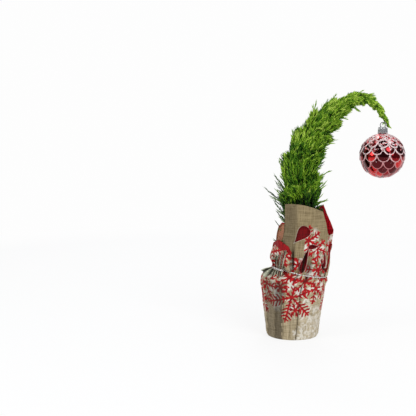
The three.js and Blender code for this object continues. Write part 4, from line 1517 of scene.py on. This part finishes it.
@node_group("glitter_powder", vectors=1)
def glitter_powder(place_in):
    """Drifting clouds in the lacquer, and glitter powder that lies thickest near the cap."""
    dusted = rise(axes_of(place_in)[2], BALL_CENTRE[2] - 0.006, CAP_TOP - 0.014)
    clumps = noise_at(place_in, 240, 4.0, 0.7)
    return {
        "Clouds": noise_at(place_in, 60, 3.0),
        "Powder": rise(dusted * 0.18 + clumps, 0.63, 0.67),
        "Thin": rise(noise_at(place_in, 420, 3.0), 0.56, 0.48),
    }


def lacquer(tree, wine, bright_red):
    given = glitter_powder(object_place(tree))
    clouds, powder = given["Clouds"], given["Powder"]
    white = blend_colors(given["Thin"], GLITTER_WHITE, POWDER_PINK)
    return {
        "Base Color": blend_colors(powder, blend_colors(clouds, wine, bright_red), white),
        "Metallic": 1.0 - powder,
        "Roughness": powder * 0.4 + 0.14,
        "Coat Weight": 0.3,
        "Coat Roughness": 0.06,
        "Normal": bump(clouds, 0.0006, 0.4),
    }


def glitter(tree):
    place_in = object_place(tree)
    flakes = add_node(tree, "TexVoronoi", {"Vector": place_in, "Scale": 2600.0}, out="Color")
    # The glitter is pinker towards the bottom of the ball.
    lower_on_ball = rise(axes_of(place_in)[2], BALL_CENTRE[2] + 0.010, BALL_CENTRE[2] - 0.018)
    bright = rise(axes_of(flakes)[0], 0.15, 0.5) * (lower_on_ball * -0.9 + 1.0)
    return {
        "Base Color": blend_colors(bright, GLITTER_PINK, GLITTER_WHITE),
        "Roughness": 0.4,
        "Normal": bump(bright, 0.00008),
    }


lacquers = [new_material(f"bauble_lacquer_{i}", lacquer, *pair) for i, pair in enumerate(LACQUERS)]


def bauble_shell():
    bm = bmesh.new()
    neck = math.acos(BALL_NECK_RADIUS / BALL_SHELL_RADIUS)
    arc = np.linspace(-math.pi / 2, neck, 48)[1:]
    profile = [(BALL_SHELL_RADIUS * math.cos(a), BALL_SHELL_RADIUS * math.sin(a)) for a in arc]
    lip = profile[-1][1] + BALL_NECK_HEIGHT
    turned(bm, [(0, -BALL_SHELL_RADIUS)] + profile + [(BALL_NECK_RADIUS, lip), (0, lip)], 72)
    move(bm, BALL_CENTRE)
    return finish_mesh("bauble_shell", bm, lacquers[:1])


def verts_in(geometry):
    return [v for v in geometry if isinstance(v, bmesh.types.BMVert)]


def faces_in(geometry):
    return [f for f in geometry if isinstance(f, bmesh.types.BMFace)]


def scale_shape(bm):
    """One scale over the unit square: a rounded tongue with a raised rim, its point at y = -1."""
    bmesh.ops.create_circle(bm, cap_ends=True, segments=SCALE_SEGMENTS, radius=1)
    outer, bed = bm.verts[:], bm.faces[:]
    for v in outer:
        v.co.y *= 0.75 if v.co.y > 0 else 1
    bmesh.ops.inset_region(bm, faces=bed, thickness=SCALE_RIM / 2, use_boundary=True)
    crest = list(bed[0].verts)
    bmesh.ops.inset_region(bm, faces=bed, thickness=SCALE_RIM / 2, use_boundary=True)
    for f in bm.faces:
        f.material_index = 0 if f is bed[0] else len(LACQUERS)
    dome = bmesh.ops.poke(bm, faces=bed)["verts"]
    for ring, height in ((outer, -0.15), (crest, 0.12), (dome, 0.18)):
        for v in ring:
            v.co.z = height
    rim = [e for e in bm.edges if e.is_boundary]
    skirt = bmesh.ops.extrude_edge_only(bm, edges=rim)["geom"]
    for v in verts_in(skirt):
        v.co.z = -0.5
    for f in faces_in(skirt):
        f.material_index = len(LACQUERS)
    bmesh.ops.recalc_face_normals(bm, faces=bm.faces)
    return bm.verts[:] + bm.edges[:] + bm.faces[:]


def lay_scale(verts, longitude, level, half_wide, half_tall, tilt):
    for v in verts:
        x, y, z = v.co
        north = max(level + y * half_tall, -1.54)
        east = longitude + x * half_wide
        stand = 0.45 - 0.55 * y + 1.2 * z + tilt[0] * x + tilt[1] * y
        lift = SCALE_STAND * stand * (0.4 + 0.6 * math.cos(level)) - SCALE_SINK
        r = BALL_SHELL_RADIUS + lift
        flat = r * math.cos(north)
        v.co = (flat * math.cos(east), flat * math.sin(east), r * math.sin(north))


def bauble_scales():
    random = np.random.default_rng(SEED)
    bm = bmesh.new()
    pattern = scale_shape(bm)
    levels = np.radians(np.linspace(FIRST_ROW_LATITUDE, LAST_ROW_LATITUDE, SCALE_ROWS))
    half_tall = SCALE_FILL[1] * (levels[0] - levels[1])
    half_wide = SCALE_FILL[0] * math.pi / SCALES_ROUND
    for row, level in enumerate(levels):
        for i in range(SCALES_ROUND):
            copied = bmesh.ops.duplicate(bm, geom=pattern)["geom"]
            longitude = math.tau * (i + 0.5 * (row % 2)) / SCALES_ROUND
            tilt = random.uniform(-1, 1, 2) * SCALE_TILT
            lay_scale(verts_in(copied), longitude, level, half_wide, half_tall, tilt)
            # Each scale gets the plain lacquer, its darker copy or its brighter copy: painted shade and
            # painted light.
            bright = BRIGHT_SHARES[1 < row < SCALE_ROWS - 2]
            shares = (PLAIN_SHARE, 1 - PLAIN_SHARE - bright, bright)
            shade = int(random.choice(len(LACQUERS), p=shares))
            for f in faces_in(copied):
                if f.material_index < len(LACQUERS):
                    f.material_index = shade
    bmesh.ops.delete(bm, geom=verts_in(pattern), context="VERTS")
    move(bm, BALL_CENTRE)
    return finish_mesh("bauble_scales", bm, lacquers + [new_material("white_glitter", glitter)])


for piece in (bauble_shell(), bauble_scales()):
    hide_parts("bauble_ball")

# Bauble cap
# A crown of thin silvered tin with fluted sides and a scalloped edge, pressed over the ball's neck.
# A wire ring stands in its top, and a side twig of the plant's tip goes through the ring.
CAP_HEIGHT = 0.0082
CAP_RADIUS = 0.0063
CAP_FLUTES = 20
CAP_STEPS_A_FLUTE = 8
FLUTE_DEPTH = 0.00034
SCALLOP = 0.00045
RING_STAND = 0.00645
CAP_CROWN = CAP_TOP - BALL_CENTRE[2] - RING_STAND
RING_RADIUS = 0.00345
RING_WIRE = 0.00045
RING_CENTRE = Vector((BALL_CENTRE[0], BALL_CENTRE[1], CAP_TOP - RING_RADIUS - RING_WIRE))
# Share of the cap's radius, and height under its top, from the top's middle round the edge and back
CAP_PROFILE = [
    (0, 0), (0.55, 0), (0.78, 0.0003), (0.87, 0.0009), (0.91, 0.0018), (0.93, 0.004),
    (0.96, 0.0066), (1.00, 0.0082), (0.95, 0.0081), (0.88, 0.006), (0.86, 0.002), (0.74, 0.0008),
    (0, 0.0006),
]
cap_silver = new_material("cap_silver", metal, (0.62, 0.62, 0.64), 0.16, 900)
# The ring's metal is near black, a painted dark reflection.
ring_metal_painted_dark = new_material("ring_metal_painted_dark", metal, (0.05, 0.06, 0.07), 0.3, 900)


def crown_cap():
    bm = bmesh.new()
    profile = [(share * CAP_RADIUS, CAP_CROWN - under) for share, under in CAP_PROFILE]
    turned(bm, profile, CAP_FLUTES * CAP_STEPS_A_FLUTE)
    for v in bm.verts:
        under = (CAP_CROWN - v.co.z) / CAP_HEIGHT
        side = float(smooth(v.co.xy.length, 0.72 * CAP_RADIUS, 0.9 * CAP_RADIUS))
        wave = math.cos(CAP_FLUTES * math.atan2(v.co.y, v.co.x))
        v.co.xy += v.co.xy.normalized() * (FLUTE_DEPTH * wave * side)
        v.co.z -= SCALLOP * wave * max(0, under - 0.6) / 0.4
    move(bm, BALL_CENTRE)
    return finish_mesh("bauble_crown_cap", bm, [cap_silver])


def wire_ring():
    bm = bmesh.new()
    bmesh.ops.create_circle(bm, segments=12, radius=RING_WIRE)
    move(bm, (RING_RADIUS, 0, 0))
    spin_closed(bm, bm.verts[:] + bm.edges[:], (0, 1, 0), 64)
    move(bm, RING_CENTRE)
    return finish_mesh("bauble_ring", bm, [ring_metal_painted_dark])


for piece in (crown_cap(), wire_ring()):
    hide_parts("bauble_cap")

# Twig in the ring
# A short side twig of the leader's tip, bent over so that it goes through the ring and carries the
# bauble, with a few green needles past the ring.
PEG_RADIUS = 0.0005
PEG_FROM_TIP = 0.005
# The twig's knee and end from the ring's middle, and the way to the side and length of its sprays
PEG_KNEE = (0.0008, 0.0021, 0.0019)
PEG_END = (-0.0002, -0.003, 0.0026)
PEG_SPRAYS = [(-0.6, 0.0062), (0.1, 0.0074), (0.7, 0.0054)]


def twig_in_ring():
    root = stem_at(np.array(STEM_LENGTH - PEG_FROM_TIP))[0]
    knee = np.array(RING_CENTRE) + PEG_KNEE
    end = np.array(RING_CENTRE) + PEG_END
    t = np.linspace(0, 1, 9)[:, None]
    bend = 2 * knee - 0.5 * (root + end)
    line = (1 - t) ** 2 * root + 2 * t * (1 - t) * bend + t**2 * end
    twig = Tubes()
    facing = np.array([[0.0, 0.0, 1.0]])
    wood = [np.zeros(1, int)] * 3
    twig.add(line[None], np.full((1, 9), PEG_RADIUS), facing, wood, sides=6)
    return twig, line


peg, peg_line = twig_in_ring()
peg = peg.joined("twig_in_ring", [twig_woods[1]])
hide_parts("leader_tip")


def ring_needles():
    needles = Tubes()
    for aside, length in PEG_SPRAYS:
        way = unit(np.array([aside, -1.0, -0.35 + 0.2 * aside]))
        t = np.linspace(0, 1, 5)[:, None]
        line = peg_line[-1] - 0.0008 * way + length * (way * t + np.array([0, 0, -0.25]) * t**2)
        tones = [np.array([tone]) for tone in (4, 4, 5)]
        width = FILAMENT * np.linspace(1, 0.7, 5)[None]
        needles.add(line[None], width, np.array([[1.0, 0.0, 0.0]]), tones)
    piece = needles.joined("needles_at_ring", greens)
    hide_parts("leader_tip")


ring_needles()

# Floor, light and camera
# A plain pale floor under soft studio light, with the camera where the photograph's was: a little
# above the plant, looking down at it, with the plant at the right of the frame.
CAMERA_PLACE = (-0.1121, -1.15, 0.3)
# Degrees up from straight down, and focal length and width of the sensor in mm
CAMERA_PITCH = 83.5
CAMERA_LENS = 76.33
SENSOR_WIDTH = 36
FLOOR_RADIUS = 6
FLOOR_COLOR = (0.88, 0.88, 0.88)
# Distances between which the floor goes over to the bright backdrop, and its least share of it
FLOOR_FADES = (0.35, 1.1)
FLOOR_GLOW = 0.8
# Place, size and power of each lamp, all turned to the plant
LAMPS = [
    ((0.7, -1.25, 1.35), 1.0, 14),
    ((-1.15, -0.75, 0.9), 0.7, 5),
    ((0.2, 1.2, 1.3), 0.8, 6),
]
SKY_SHOWN = (0.985, 0.985, 0.985)
SKY_LIGHT = (0.68, 0.69, 0.71)
SKY_MIRRORED = (0.22, 0.22, 0.23)


def pale_floor(tree):
    grain = noise_at(object_place(tree), 12)
    pale = blend_colors(grain, tuple(0.985 * c for c in FLOOR_COLOR), FLOOR_COLOR)
    away = calc_vector("LENGTH", object_place(tree), out="Value")
    far = calc("MAXIMUM", FLOOR_GLOW, rise(away, *FLOOR_FADES))
    return {
        "Base Color": blend_colors(far, pale, (0, 0, 0)),
        "Emission Color": blend_colors(far, (0, 0, 0), SKY_SHOWN),
        "Emission Strength": 1.0,
        "Specular IOR Level": 0.0,
        "Roughness": 0.7,
    }


def floor():
    bm = bmesh.new()
    bmesh.ops.create_circle(bm, cap_ends=True, segments=96, radius=FLOOR_RADIUS)
    ground = add_object("floor", mesh_of("floor", bm))
    ground.data.materials.append(new_material("pale_floor", pale_floor))


def studio_light():
    aim = (cad_low + cad_high) / 2
    for spot, size, power in LAMPS:
        lamp = bpy.data.lights.new("softbox", "AREA")
        lamp.shape = "DISK"
        lamp.size = size
        lamp.energy = power
        stand = add_object("softbox", lamp)
        stand.location = spot
        stand.rotation_euler = (aim - Vector(spot)).to_track_quat("-Z", "Y").to_euler()
    world = bpy.data.worlds.new("studio")
    world.use_nodes = True
    tree = world.node_tree
    rays = tree.nodes.new("ShaderNodeLightPath").outputs
    sky = blend_colors(Wire(rays["Is Glossy Ray"]), SKY_LIGHT, SKY_MIRRORED)
    sky = blend_colors(Wire(rays["Is Camera Ray"]), sky, SKY_SHOWN)
    set_inputs(tree.nodes["Background"].inputs, {"Color": sky})
    bpy.context.scene.world = world


def photo_camera():
    camera = add_object("camera", bpy.data.cameras.new("camera"))
    camera.data.sensor_width = SENSOR_WIDTH
    camera.data.lens = CAMERA_LENS
    camera.location = CAMERA_PLACE
    camera.rotation_euler = (math.radians(CAMERA_PITCH), 0, 0)
    bpy.context.scene.camera = camera


floor()
studio_light()
photo_camera()
bpy.context.scene.view_settings.view_transform = "Standard"
